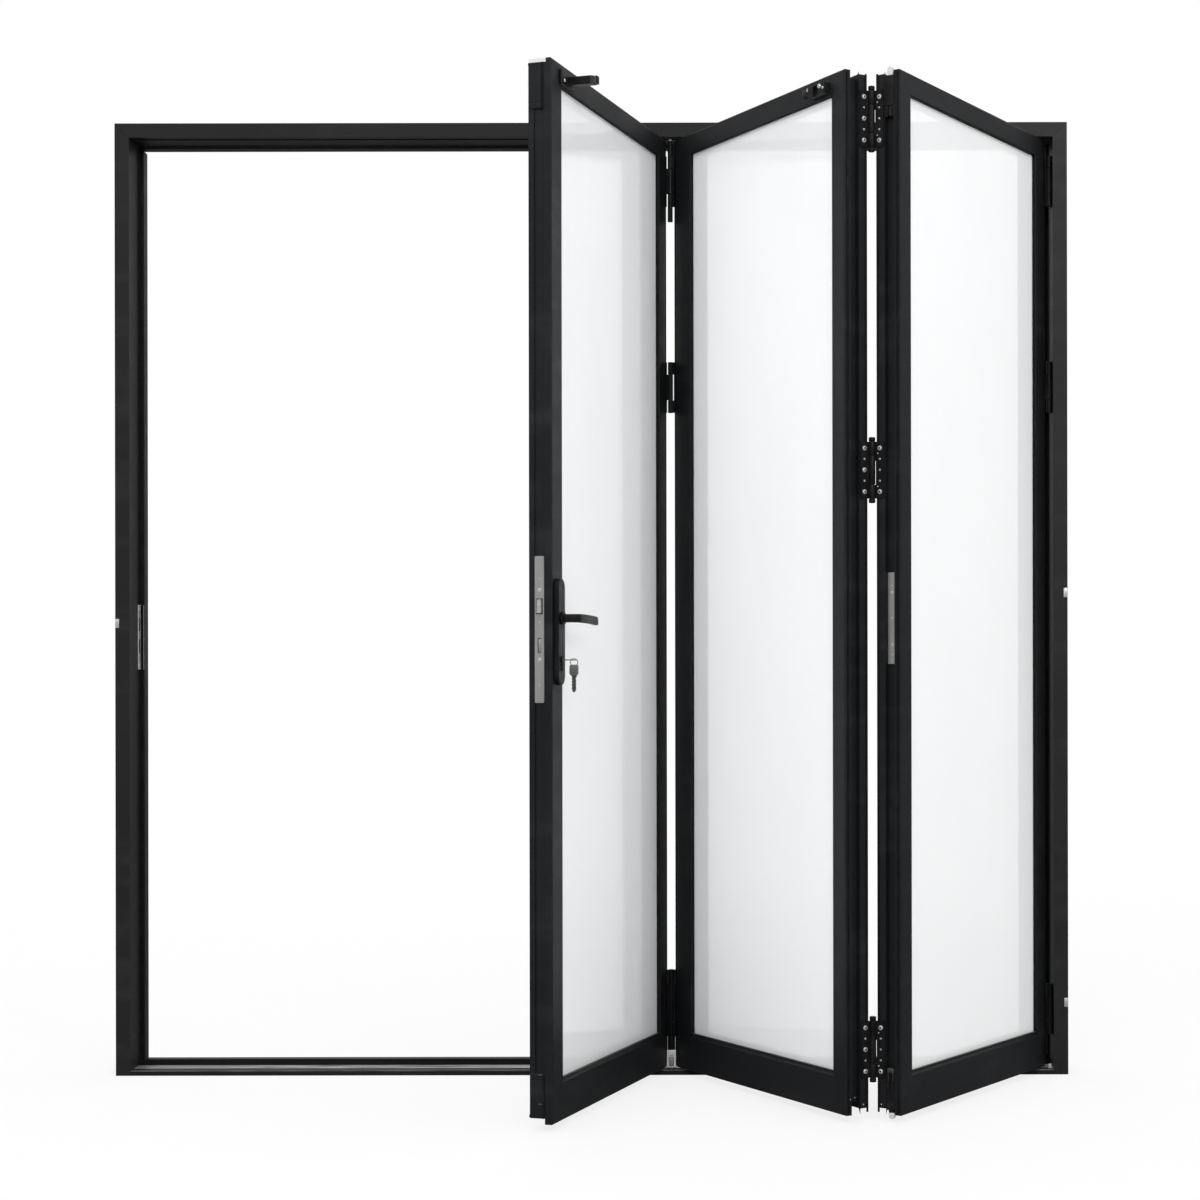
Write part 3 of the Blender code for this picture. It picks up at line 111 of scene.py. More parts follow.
class DoorFinishes(bpy.types.PropertyGroup):
    """Colours and sheen of the door's finishes."""

    frame_paint: colour_prop("Frame paint", "Coat on the frame", (0.0095, 0.0098, 0.0102))
    leaf_paint: colour_prop("Leaf paint", "Coat on the leaves", (0.0072, 0.0086, 0.0098))
    # Also used as painted top light: faces that look up on the paint and seals are mixed towards this
    # colour
    paint_dust: colour_prop("Paint dust", "Fine dust lying on the paint", (0.16, 0.16, 0.155))
    paint_roughness: share_prop("Paint roughness", "Roughness of the powder coat", 0.48)
    frame_sheen: share_prop("Frame sheen", "Gloss level of the frame's coat", 0.30)
    leaf_sheen: share_prop("Leaf sheen", "Gloss level of the leaves' coat", 0.23)
    bare_metal: colour_prop("Bare metal", "Metal where the sill is worn", (0.66, 0.66, 0.65))
    fitting_paint: colour_prop("Fitting paint", "Hinges and catch", (0.0045, 0.0045, 0.0050))
    rubber: colour_prop("Rubber", "Glazing and weather seals", (0.0050, 0.0050, 0.0055))
    steel: colour_prop("Brushed steel", "Faceplates and keep", (0.46, 0.46, 0.445))
    zinc: colour_prop("Zinc plate", "Screws, guide and cleats", (0.72, 0.72, 0.70))
    key_steel: colour_prop("Key steel", "Keys and ring", (0.22, 0.22, 0.22))
    black_nylon: colour_prop("Black nylon", "Guides and blocks", (0.0060, 0.0060, 0.0065))
    white_nylon: colour_prop("White nylon", "Bolt tips and stile cap", (0.60, 0.61, 0.60))
    glass_tint: colour_prop("Glass tint", "Tint of the panes", (0.975, 0.985, 0.985))
    # Painted reflection: a diffuse white on the panes' outer faces stands for the bright room that the
    # glass mirrors
    glass_veil: colour_prop("Glass veil", "Room's white on the glass", (0.945, 0.955, 0.962))


class DoorFittings(bpy.types.PropertyGroup):
    """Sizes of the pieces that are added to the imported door."""

    pane: length_prop("Pane", "Thickness of each pane", 0.006)
    spacer_width: length_prop("Spacer width", "Width of the bar between the panes", 0.0125)
    gasket_width: length_prop("Gasket width", "Width of the gasket on the glass", 0.0040)
    gasket_rise: length_prop("Gasket rise", "Height of the gasket off the glass", 0.0080)
    seal_width: length_prop("Seal width", "Width of the weather seal's bulb", 0.0070)
    seal_rise: length_prop("Seal rise", "Height of the weather seal's bulb", 0.0028)
    lip_reach: length_prop("Lip reach", "How far the lip stands off the leaf's edge", 0.0026)
    lip_rise: length_prop("Lip rise", "How far the lip stands past the leaf's face", 0.0008)
    large_screw: length_prop("Large screw", "Radius of the hinges' large screws", 0.0056)
    small_screw: length_prop("Small screw", "Radius of the hinges' small screws", 0.0026)
    tiny_screw: length_prop("Tiny screw", "Radius of the adjusting screws", 0.0018)
    screw_row: length_prop("Screw row", "From the middle to the end screws", 0.0490)
    cleat_height: length_prop("Cleat height", "Height of the fixing cleats", 0.0225)
    cleat_width: length_prop("Cleat width", "Width of the fixing cleats", 0.0100)


class DoorStage(bpy.types.PropertyGroup):
    """Camera and light of the studio."""

    camera_place: FloatVectorProperty(name="Camera", description="Place of the camera",
                                      subtype="TRANSLATION", unit="LENGTH", size=3,
                                      default=(0.4296, -5.580, 0.981))
    camera_lens: FloatProperty(name="Lens", description="Focal length in mm", default=65.69)
    camera_roll: FloatProperty(name="Roll", description="Tilt of the camera about its view",
                               default=math.radians(0.09), subtype="ANGLE", unit="ROTATION")
    shift_x: FloatProperty(name="Shift X", description="Sideways shift", default=-0.135)
    shift_y: FloatProperty(name="Shift Y", description="Upward shift", default=0.0713)
    floor_white: share_prop("Floor white", "Share of plain white in the floor as seen", 0.80)
    floor_bounce: colour_prop("Floor bounce", "Floor as it lights the door", (0.82, 0.82, 0.82))
    low_shade: share_prop("Low shade", "Brightness that gloss mirrors from the horizon", 0.25)
    floor_gloss: share_prop("Floor gloss", "Brightness that gloss mirrors from the floor", 0.08)
    room_light: FloatProperty(name="Room light", description="Strength of the even light",
                              default=0.79)
    zenith: FloatProperty(name="Zenith", description="Light from above against the horizon's",
                          default=1.4)


class Nodes:
    """Short calls for the nodes of a material or of the world."""

    def __init__(self, owner):
        owner.use_nodes = True
        self.nodes = owner.node_tree.nodes
        self.link = owner.node_tree.links.new

    def add(self, kind, **values):
        """Add a node; each value goes to the input of that name, or else is a property."""
        node = self.nodes.new("ShaderNode" + kind)
        for key, value in values.items():
            socket = key.replace("_", " ")
            if socket in node.inputs:
                node.inputs[socket].default_value = value
            else:
                setattr(node, key, value)
        return node

    def along(self, axis, source="Object"):
        """One part of a coordinate."""
        parts = self.add("SeparateXYZ")
        self.link(self.add("TexCoord").outputs[source], parts.inputs["Vector"])
        return parts.outputs[axis]

    def spread(self, value, low, high, to_low, to_high):
        """Map a range of a value onto another, with the ends held."""
        node = self.add("MapRange", From_Min=low, From_Max=high, To_Min=to_low, To_Max=to_high)
        self.link(value, node.inputs["Value"])
        return node.outputs["Result"]

    def join(self, operation, first, second):
        """Combine two values."""
        node = self.add("Math", operation=operation)
        self.link(first, node.inputs[0])
        self.link(second, node.inputs[1])
        return node.outputs["Value"]

    def choose(self, factor, first, second):
        """Mix two shaders."""
        node = self.add("MixShader")
        for socket, target in zip((factor, first, second), node.inputs):
            self.link(socket, target)
        return node.outputs[0]

    def background_rays(self):
        """Masks for rays that see the background, straight or through glass, and for gloss."""
        rays = self.add("LightPath").outputs
        seen = self.join("MAXIMUM", rays["Is Camera Ray"], rays["Is Transmission Ray"])
        return seen, rays["Is Glossy Ray"]


class Finish(Nodes):
    """A material under construction; its textures lie on the object's own coordinates."""

    def __init__(self, name):
        self.material = bpy.data.materials.new(name)
        super().__init__(self.material)
        self.shader = self.nodes["Principled BSDF"]

    def place(self, stretch=(1, 1, 1), turn=0.0):
        """Object coordinates, turned about Z and then stretched."""
        turned = self.add("Mapping", Rotation=(0, 0, turn))
        stretched = self.add("Mapping", Scale=stretch)
        self.link(self.add("TexCoord").outputs["Object"], turned.inputs["Vector"])
        self.link(turned.outputs["Vector"], stretched.inputs["Vector"])
        return stretched.outputs["Vector"]

    def noise(self, scale, detail, stretch=(1, 1, 1), turn=0.0):
        node = self.add("TexNoise", Scale=scale, Detail=detail)
        self.link(self.place(stretch, turn), node.inputs["Vector"])
        return node.outputs["Fac"]

    def upward_dust_and_light(self, share):
        """A share on the surfaces that face up, where dust settles and where painted top light makes
        them lighter, and none elsewhere.
        """
        return self.spread(self.along("Z", "Normal"), 0.80, 0.97, 0.0, share)

    def mix(self, factor, first, second):
        """Blend two colours; either may be a socket."""
        node = self.add("Mix", data_type="RGBA")
        self.link(factor, node.inputs[0])
        for value, socket in ((first, node.inputs[6]), (second, node.inputs[7])):
            if isinstance(value, bpy.types.NodeSocket):
                self.link(value, socket)
            else:
                socket.default_value = (*value, 1.0)
        return node.outputs[2]

    def blend(self, value, low, high, first, second, most=1.0):
        """Go from one colour towards another as a texture rises."""
        return self.mix(self.spread(value, low, high, 0.0, most), first, second)

    def add_heights(self, first, second, share):
        node = self.add("Math", operation="MULTIPLY_ADD")
        node.inputs[1].default_value = share
        self.link(second, node.inputs[0])
        self.link(first, node.inputs[2])
        return node.outputs["Value"]

    def close(self, colour, roughness, relief=None, **values):
        """Wire the shader; relief is a height, its distance and its strength."""
        self.link(colour, self.shader.inputs["Base Color"])
        self.link(roughness, self.shader.inputs["Roughness"])
        if relief:
            height, distance, strength = relief
            bump = self.add("Bump", Strength=strength, Distance=distance)
            self.link(height, bump.inputs["Height"])
            self.link(bump.outputs["Normal"], self.shader.inputs["Normal"])
        for key, value in values.items():
            self.shader.inputs[key.replace("_", " ")].default_value = value
        return self.material


def finishes():
    return bpy.context.scene.door_finishes


def scaled(colour, factor):
    """A colour made lighter or darker."""
    return tuple(min(1.0, channel * factor) for channel in colour)


def powder_coat(name, colour, owner, bar):
    """Satin powder coat: orange peel, faint draw lines along the bar, dust, an uneven sheen and a
    painted lighter top on the faces that look up.
    """
    settings = finishes()
    dust = tuple(settings.paint_dust)
    rough = settings.paint_roughness
    on_frame = owner == "frame"
    turn = 0.0 if on_frame else -LeafSpace(owner).angle
    finish = Finish(name)
    stretch = (140.0, 140.0, 1.1) if bar == "upright" else (1.1, 140.0, 140.0)
    draw_lines = finish.noise(1.0, 2.0, stretch, turn)
    broad = finish.noise(2.6, 4.0)
    grain = finish.noise(850.0, 2.0)
    smears = finish.noise(2.0, 5.0, (3.0, 3.0, 9.0), turn)
    tone = finish.blend(broad, 0.3, 0.7, scaled(colour, 0.82), scaled(colour, 1.20))
    tone = finish.blend(smears, 0.52, 0.86, tone, dust, 0.07)
    tone = finish.blend(grain, 0.70, 0.82, tone, scaled(colour, 3.4), 0.10)
    # Dust and painted top light: faces that look up are mixed towards the dust colour, lighter as if
    # lit from above
    tone = finish.mix(finish.upward_dust_and_light(0.30), tone, dust)
    return finish.close(tone, finish.spread(smears, 0.3, 0.75, rough - 0.05, rough + 0.09),
                        (finish.add_heights(grain, draw_lines, 0.8), 0.00009, 0.8),
                        Specular_IOR_Level=settings.frame_sheen if on_frame else settings.leaf_sheen)


def worn_coat(name, colour):
    """The sill: powder coat rubbed through to bare metal along the walked edge and on top."""
    metal = tuple(finishes().bare_metal)
    finish = Finish(name)
    grain = finish.noise(700.0, 2.0)
    scuffs = finish.noise(1.6, 6.0, (6.0, 60.0, 60.0))
    scratches = finish.noise(1.0, 4.0, (2.0, 420.0, 60.0))
    depth = finish.along("Y")
    top = finish.spread(finish.along("Z"), SILL_FACE - 0.0026, SILL_FACE - 0.0004, 0.0, 1.0)
    outer = finish.spread(depth, -0.036, -0.023, 0.02, 1.0)
    edge = finish.spread(depth, -0.0614, -0.0600, 0.55, 0.0)
    worn = finish.join("MULTIPLY", top, finish.join("MAXIMUM", outer, edge))
    worn = finish.join("MULTIPLY", worn, finish.spread(scuffs, 0.40, 0.62, 0.30, 0.95))
    worn = finish.join("MULTIPLY", worn, finish.spread(depth, 0.012, 0.019, 1.0, 0.0))
    coat = finish.blend(scratches, 0.35, 0.65, scaled(colour, 0.9), scaled(colour, 1.7))
    bare = finish.blend(scratches, 0.35, 0.65, scaled(metal, 0.72), metal)
    finish.link(worn, finish.shader.inputs["Metallic"])
    return finish.close(finish.mix(worn, coat, bare), finish.spread(scuffs, 0.3, 0.7, 0.34, 0.50),
                        (finish.add_heights(grain, scratches, 1.2), 0.00012, 0.8),
                        Specular_IOR_Level=0.12)


def fitting_coat(name, colour):
    """Smooth dark stoved paint on hinges and catch, with fine rubs."""
    finish = Finish(name)
    rubs = finish.noise(1.0, 5.0, (40.0, 40.0, 12.0))
    return finish.close(finish.blend(rubs, 0.45, 0.8, colour, scaled(colour, 2.6)),
                        finish.spread(rubs, 0.3, 0.7, 0.30, 0.46),
                        (finish.noise(520.0, 2.0), 0.00007, 0.7), Specular_IOR_Level=0.18)


def brushed_metal(name, colour, roughness=0.36, metallic=0.75):
    """Steel with upright brush lines and a slightly stained tone."""
    finish = Finish(name)
    lines = finish.noise(1.0, 3.0, (900.0, 900.0, 14.0))
    stains = finish.noise(38.0, 4.0)
    tone = finish.blend(lines, 0.3, 0.7, scaled(colour, 0.82), scaled(colour, 1.12))
    return finish.close(finish.blend(stains, 0.52, 0.78, tone, scaled(colour, 0.6), 0.30),
                        finish.spread(lines, 0.3, 0.7, roughness - 0.07, roughness + 0.10),
                        (lines, 0.00005, 0.7), Metallic=metallic)


def plated_metal(name, colour):
    """Bright plating on screws, guide and cleats, with small dulled spots."""
    finish = Finish(name)
    spots = finish.noise(420.0, 3.0)
    cast = finish.noise(60.0, 3.0)
    tone = finish.blend(cast, 0.35, 0.65, scaled(colour, 0.86), scaled(colour, 1.10))
    return finish.close(finish.blend(spots, 0.60, 0.75, tone, scaled(colour, 0.55), 0.45),
                        finish.spread(spots, 0.35, 0.7, 0.26, 0.42), (spots, 0.00004, 0.6),
                        Metallic=0.7)


def seal_rubber(name, colour):
    """Matt rubber with a fine moulded grain, grey bloom, and dust with painted top light on the faces
    that look up.
    """
    finish = Finish(name)
    bloom = finish.noise(24.0, 4.0)
    tone = finish.blend(bloom, 0.5, 0.8, colour, scaled(colour, 2.8))
    # Dust and painted top light: faces that look up are mixed towards the dust colour, lighter as if
    # lit from above
    tone = finish.mix(finish.upward_dust_and_light(0.42), tone, tuple(finishes().paint_dust))
    return finish.close(tone, finish.spread(bloom, 0.3, 0.7, 0.58, 0.74),
                        (finish.noise(1100.0, 2.0), 0.00010, 0.8), Specular_IOR_Level=0.15)


def moulded_nylon(name, colour, dirt, roughness):
    """Moulded nylon with a spark-eroded grain and handling marks."""
    finish = Finish(name)
    marks = finish.noise(1.0, 5.0, (30.0, 30.0, 90.0))
    return finish.close(finish.blend(marks, 0.48, 0.80, colour, scaled(colour, dirt)),
                        finish.spread(marks, 0.3, 0.7, roughness - 0.06, roughness + 0.08),
                        (finish.noise(950.0, 2.0), 0.00008, 0.7), Specular_IOR_Level=0.18)


def bolt_nylon(name, black, end):
    """Shoot bolt: black shaft, white nose past one height."""
    low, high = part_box(f"{end}_shoot_bolt")
    level, sign = (high.z - 0.024, 1) if end == "top" else (low.z + 0.014, -1)
    seam = sign * 0.0004
    white = tuple(finishes().white_nylon)
    finish = Finish(name)
    nose = finish.spread(finish.along("Z"), level - seam, level + seam, 0.0, 1.0)
    marks = finish.noise(1.0, 5.0, (30.0, 30.0, 90.0))
    pale = finish.blend(marks, 0.48, 0.80, white, scaled(white, 0.78))
    return finish.close(finish.mix(nose, black, pale), finish.spread(marks, 0.3, 0.7, 0.36, 0.50),
                        (marks, 0.00006, 0.6))


def pane_glass(name, tint):
    """Clear float glass with a faint cast and wiping marks."""
    finish = Finish(name)
    wipes = finish.noise(2.2, 5.0, (3.0, 3.0, 1.2), 0.6)
    cast = finish.noise(1.3, 2.0, (1.2, 1.2, 2.6))
    toned = finish.blend(cast, 0.35, 0.65, tint, scaled(tint, 0.985))
    return finish.close(finish.blend(wipes, 0.45, 0.80, toned, scaled(tint, 0.97)),
                        finish.spread(wipes, 0.45, 0.85, 0.0, 0.03), Transmission_Weight=1.0, IOR=1.46)


def pane_veil(name, painted_reflection):
    """Painted reflection on the outer face: a diffuse white that stands for the bright room the glass
    mirrors, with painted shade making it greyer towards the floor.
    """
    finish = Finish(name)
    wipes = finish.noise(2.2, 5.0, (3.0, 3.0, 1.2), 0.6)
    # Painted shade: the painted reflection turns greyer towards the floor
    lower_painted_shade = finish.spread(finish.along("Z"), 0.2, 1.9, 1.0, 0.0)
    shaded = finish.mix(lower_painted_shade, painted_reflection, scaled(painted_reflection, 0.98))
    return finish.close(finish.blend(wipes, 0.45, 0.80, shaded, scaled(painted_reflection, 0.975)),
                        finish.spread(wipes, 0.45, 0.85, 0.01, 0.05), Transmission_Weight=0.17,
                        IOR=1.46)


def spacer_metal(name, colour):
    """Mill finish spacer bar with its row of fine desiccant holes."""
    finish = Finish(name)
    dots = finish.add("TexVoronoi", Scale=420.0)
    finish.link(finish.place(), dots.inputs["Vector"])
    holes = finish.spread(dots.outputs["Distance"], 0.12, 0.22, 1.0, 0.0)
    return finish.close(finish.mix(holes, colour, scaled(colour, 0.2)),
                        finish.spread(holes, 0.0, 1.0, 0.38, 0.8), Metallic=0.6)


# Each material: the slot of its pieces, its maker, its colour or that colour's setting, and
# what else the maker asks for
LOOKS = {
    "worn_sill_coat": (None, worn_coat, "frame_paint"),
    "stoved_black": ("black_plastic", fitting_coat, "fitting_paint"),
    "seal_rubber": ("black_plastic", seal_rubber, "rubber"),
    "black_nylon": ("black_plastic", moulded_nylon, "black_nylon", 2.6, 0.46),
    "white_nylon": ("white_plastic", moulded_nylon, "white_nylon", 0.72, 0.42),
    "top_bolt_nylon": (None, bolt_nylon, "black_nylon", "top"),
    "bottom_bolt_nylon": (None, bolt_nylon, "black_nylon", "bottom"),
    "bright_zinc": ("bright_steel", plated_metal, "zinc"),
    "brushed_steel_upright": ("bright_steel", brushed_metal, "steel"),
    "key_steel": ("key_metal", brushed_metal, "key_steel", 0.30),
    "key_blade_steel": ("key_metal", brushed_metal, (0.10, 0.10, 0.10), 0.30),
    "strap_steel": ("bright_steel", brushed_metal, (0.11, 0.11, 0.11), 0.30),
    "keep_steel": (None, brushed_metal, (0.40, 0.40, 0.39), 0.36, 0.4),
    "keep_rim_steel": ("bright_steel", brushed_metal, (0.80, 0.80, 0.78), 0.34, 0.3),
    "guide_metal": (None, brushed_metal, (0.74, 0.74, 0.72), 0.38, 0.35),
    "spacer_bar": ("brushed_steel", spacer_metal, (0.30, 0.30, 0.30)),
    "pane_glass": ("clear_glass", pane_glass, "glass_tint"),
    "pane_veil": (None, pane_veil, "glass_veil"),
}
LOOKS.update({
    f"{owner}_coat_{bar}": ("black_plastic", powder_coat, f"{owner.split('_')[-1]}_paint", owner, bar)
    for owner in ("frame", *LEAVES) for bar in ("upright", "level")
})


def material(name):
    """The named material, made the first time that it is asked for."""
    maker, colour, *values = LOOKS[name][1:]
    if isinstance(colour, str):
        colour = tuple(getattr(finishes(), colour))
    return bpy.data.materials.get(name) or maker(name, colour, *values)


def coat(look, *nodes):
    """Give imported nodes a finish."""
    for node in nodes:
        mesh = NODES[node].data
        mesh.materials.clear()
        mesh.materials.append(material(look))


def member_coat(member):
    """The coat of a leaf or frame member, whose draw lines run along the bar."""
    owner = next((leaf for leaf in LEAVES if member.startswith(leaf)), "frame")
    return f"{owner}_coat_" + ("upright" if member.endswith(("stile", "jamb")) else "level")


class LeafSpace:
    """A leaf's own frame, read from its packed members: x left, y outwards, z up."""

    def __init__(self, leaf):
        self.leaf = leaf
        faces = [face for face in NODES[f"{leaf}_glass"].data.polygons if face.normal.y < -0.1]
        self.out = max(faces, key=lambda face: face.area).normal.copy()
        run = Vector((self.out.y, -self.out.x, 0))
        points = [vert.co.copy() for member in LEAF_MEMBERS
                  for vert in NODES[f"{leaf}_{member}"].data.vertices]
        across = [point.dot(run) for point in points]
        self.foot = min(point.z for point in points)
        self.width = max(across) - min(across)
        self.height = max(point.z for point in points) - self.foot
        self.angle = math.atan2(run.y, run.x)
        face = max(point.dot(self.out) for point in points)
        origin = run * min(across) + self.out * face + Vector((0, 0, self.foot))
        self.matrix = Matrix(((run.x, self.out.x, 0, origin.x), (run.y, self.out.y, 0, origin.y),
                              (0, 0, 1, origin.z), (0, 0, 0, 1)))

    def local_box(self, node):
        """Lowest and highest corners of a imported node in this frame."""
        turned = self.matrix.inverted()
        points = [turned @ vert.co for vert in NODES[node].data.vertices]
        return [Vector([end(point[axis] for point in points) for axis in range(3)])
                for end in (min, max)]

    def edge(self, side):
        """Where one of the leaf's edges is, and the direction off it."""
        return (0.0, -1) if side == "right" else (self.width, 1)

    def barrel_face(self, side):
        """The face on which an edge's hinge barrels stand, and the direction off it."""
        return (-LEAF_THICKNESS, -1) if (self.leaf, side) in FOLD_EDGES else (0.0, 1)


def facing(place, normal, spin=0.0):
    """A matrix at a place with its Z along the normal."""
    turn = Vector(normal).to_track_quat("Z", "Y").to_matrix().to_4x4()
    return Matrix.Translation(place) @ turn @ Matrix.Rotation(spin, 4, "Z")


class Shape:
    """A piece under construction, in a leaf's own frame or in the world's."""

    def __init__(self, space=None):
        self.bm = bmesh.new()
        self.space = space

    def bevel(self, edges, offset, segments=2):
        return bmesh.ops.bevel(self.bm, geom=list(edges), offset=offset, segments=segments,
                               profile=0.5, affect="EDGES", material=-1)

    def block(self, low, high):
        """A sharp block between two corners; returns its edges."""
        low, high = Vector(low), Vector(high)
        verts = bmesh.ops.create_cube(self.bm, size=1.0)["verts"]
        bmesh.ops.scale(self.bm, vec=high - low, verts=verts)
        bmesh.ops.translate(self.bm, vec=(low + high) / 2, verts=verts)
        return {edge for vert in verts for edge in vert.link_edges}

    def box(self, low, high, bevel=0.0, segments=2):
        """A block between two corners with rounded edges."""
        edges = self.block(low, high)
        if bevel > 0:
            self.bevel(edges, bevel, segments)

    def edge_box(self, side, reach, depths, heights, bevel):
        """A box that stands off the leaf's edge."""
        edge, sign = self.space.edge(side)
        across = (edge + sign * SEAT, edge + sign * reach)
        ends = [sorted(pair) for pair in (across, depths, heights)]
        self.box([low for low, high in ends], [high for low, high in ends], bevel)

    def plate(self, low, high, axis, corner, rim=0.0, segments=5):
        """A plate whose corners about one axis are rounded first, then all its rims."""
        posts = [edge for edge in self.block(low, high)
                 if abs((edge.verts[0].co - edge.verts[1].co).normalized()[axis]) > 0.99]
        made = self.bevel(posts, corner, segments)
        if rim > 0:
            self.bm.normal_update()
            faces = {face for vert in made["verts"] for face in vert.link_faces}
            ends = [face for face in faces if abs(face.normal[axis]) > 0.99]
            self.bevel({edge for face in ends for edge in face.edges}, rim)

    def disc(self, matrix, radius, height, sides=24, bevel=0.0):
        """A round piece standing on the matrix's XY plane."""
        made = bmesh.ops.create_cone(self.bm, cap_ends=True, segments=sides, radius1=radius,
                                     radius2=radius, depth=height,
                                     matrix=matrix @ Matrix.Translation((0, 0, height / 2)))
        if bevel > 0:
            self.bevel({edge for vert in made["verts"] for edge in vert.link_edges
                        if any(len(face.verts) == sides for face in edge.link_faces)}, bevel)

    def extrude(self, faces, shift):
        """Extrude faces and return the vertices that moved."""
        made = bmesh.ops.extrude_face_region(self.bm, geom=faces)
        moved = [item for item in made["geom"] if isinstance(item, bmesh.types.BMVert)]
        bmesh.ops.translate(self.bm, vec=shift, verts=moved)
        return moved

    def band(self, low, high, width, near, far, bevel=0.0):
        """A rectangular band in XZ that stands along Y from near to far, its far rim eased."""
        (x0, z0), (x1, z1) = low, high
        corners = ((x0, z0), (x1, z0), (x1, z1), (x0, z1))
        inner = self.bm.faces.new([self.bm.verts.new((x, near, z)) for x, z in corners])
        # The new face has no normal yet, so this inset brings no width and the band stays thin
        bmesh.ops.inset_individual(self.bm, faces=[inner], thickness=width)
        bars = [face for edge in inner.edges for face in edge.link_faces if face is not inner]
        bmesh.ops.delete(self.bm, geom=[inner], context="FACES_ONLY")
        moved = set(self.extrude(bars, (0, far - near, 0)))
        if bevel > 0:
            rims = [edge for edge in self.bm.edges if set(edge.verts) <= moved
                    and len({tuple(round(v, 5) for v in f.normal) for f in edge.link_faces}) > 1]
            self.bm.normal_update()
            self.bevel([edge for edge in rims
                        if edge.is_manifold and edge.calc_face_angle(0) > 0.5], bevel, 3)

    def screw(self, radius, height, place, normal, spin=0.0):
        """Pan head screw: a domed rim around a four-armed recess."""
        head = Shape()
        bm = head.bm
        head_verts = bmesh.ops.create_cone(bm, cap_ends=True, segments=24, radius1=radius,
                                           radius2=radius * 0.80, depth=height)["verts"]
        bmesh.ops.translate(bm, vec=(0, 0, height / 2), verts=head_verts)
        top = max(bm.faces, key=lambda face: face.calc_center_median().z)
        head.bevel(top.edges, height * 0.35, 3)
        top = max(bm.faces, key=lambda face: (face.calc_center_median().z, face.calc_area()))
        bmesh.ops.inset_individual(bm, faces=[top], thickness=radius * 0.10)
        for vert in top.verts:
            angle = math.atan2(vert.co.y, vert.co.x)
            reach = radius * (0.42 + 0.16 * math.cos(4 * angle))
            vert.co.x = math.cos(angle) * reach
            vert.co.y = math.sin(angle) * reach
        head.extrude([top], (0, 0, -height * 0.7))
        bmesh.ops.delete(bm, geom=[top], context="FACES_ONLY")
        bmesh.ops.recalc_face_normals(bm, faces=bm.faces[:])
        bmesh.ops.transform(bm, matrix=facing(place, normal, spin), verts=bm.verts[:])
        mesh = bpy.data.meshes.new("screw")
        bm.to_mesh(mesh)
        bm.free()
        self.bm.from_mesh(mesh)
        bpy.data.meshes.remove(mesh)

    def sweep(self, stations, sides=24, power=5.0):
        """Skin a rounded bar over stations of place, tangent, side, width and thickness."""
        loops = []
        for place, tangent, side, width, thickness in stations:
            verts = bmesh.ops.create_circle(self.bm, cap_ends=False, segments=sides,
                                            radius=1.0)["verts"]
            up = Vector(tangent).cross(Vector(side)).normalized()
            for vert in verts:
                angle = math.atan2(vert.co.y, vert.co.x)
                swell = abs(math.cos(angle)) ** power + abs(math.sin(angle)) ** power
                reach = swell ** (-1.0 / power)
                across = Vector(side).normalized() * (math.cos(angle) * reach * width / 2)
                vert.co = Vector(place) + across + up * (math.sin(angle) * reach * thickness / 2)
            loops.append(list({edge for vert in verts for edge in vert.link_edges}))
        for first, second in zip(loops, loops[1:]):
            bmesh.ops.bridge_loops(self.bm, edges=first + second)
        for loop in (loops[0], loops[-1]):
            bmesh.ops.contextual_create(self.bm, geom=loop)

    def done(self, name, look, slot=None, body="door", angle=35.0):
        """Close the shape into a scene piece that rides on a body, its place in its mesh."""
        bmesh.ops.remove_doubles(self.bm, verts=self.bm.verts, dist=1e-6)
        bmesh.ops.recalc_face_normals(self.bm, faces=self.bm.faces[:])
        mesh = bpy.data.meshes.new(name)
        self.bm.to_mesh(mesh)
        self.bm.free()
        if self.space:
            mesh.transform(self.space.matrix)
        mesh.shade_smooth()
        mesh.set_sharp_from_angle(angle=math.radians(angle))
        piece = bpy.data.objects.new(name, mesh)
        bpy.context.scene.collection.objects.link(piece)
        mesh.materials.append(material(look))
        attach(piece, body)
        return piece


class DOOR_OT_coat_frame(bpy.types.Operator):
    """Powder coat the jambs and head, and wear the sill"""

    bl_idname = "door.coat_frame"
    bl_label = "Coat Frame"

    def execute(self, context):
        for member in FRAME_MEMBERS:
            coat(member_coat(member), member)
        coat("worn_sill_coat", "sill")
        return {"FINISHED"}


class DOOR_OT_coat_leaves(bpy.types.Operator):
    """Powder coat every stile and rail"""

    bl_idname = "door.coat_leaves"
    bl_label = "Coat Leaves"

    def execute(self, context):
        for leaf in LEAVES:
            for member in LEAF_MEMBERS:
                coat(member_coat(f"{leaf}_{member}"), f"{leaf}_{member}")
        return {"FINISHED"}


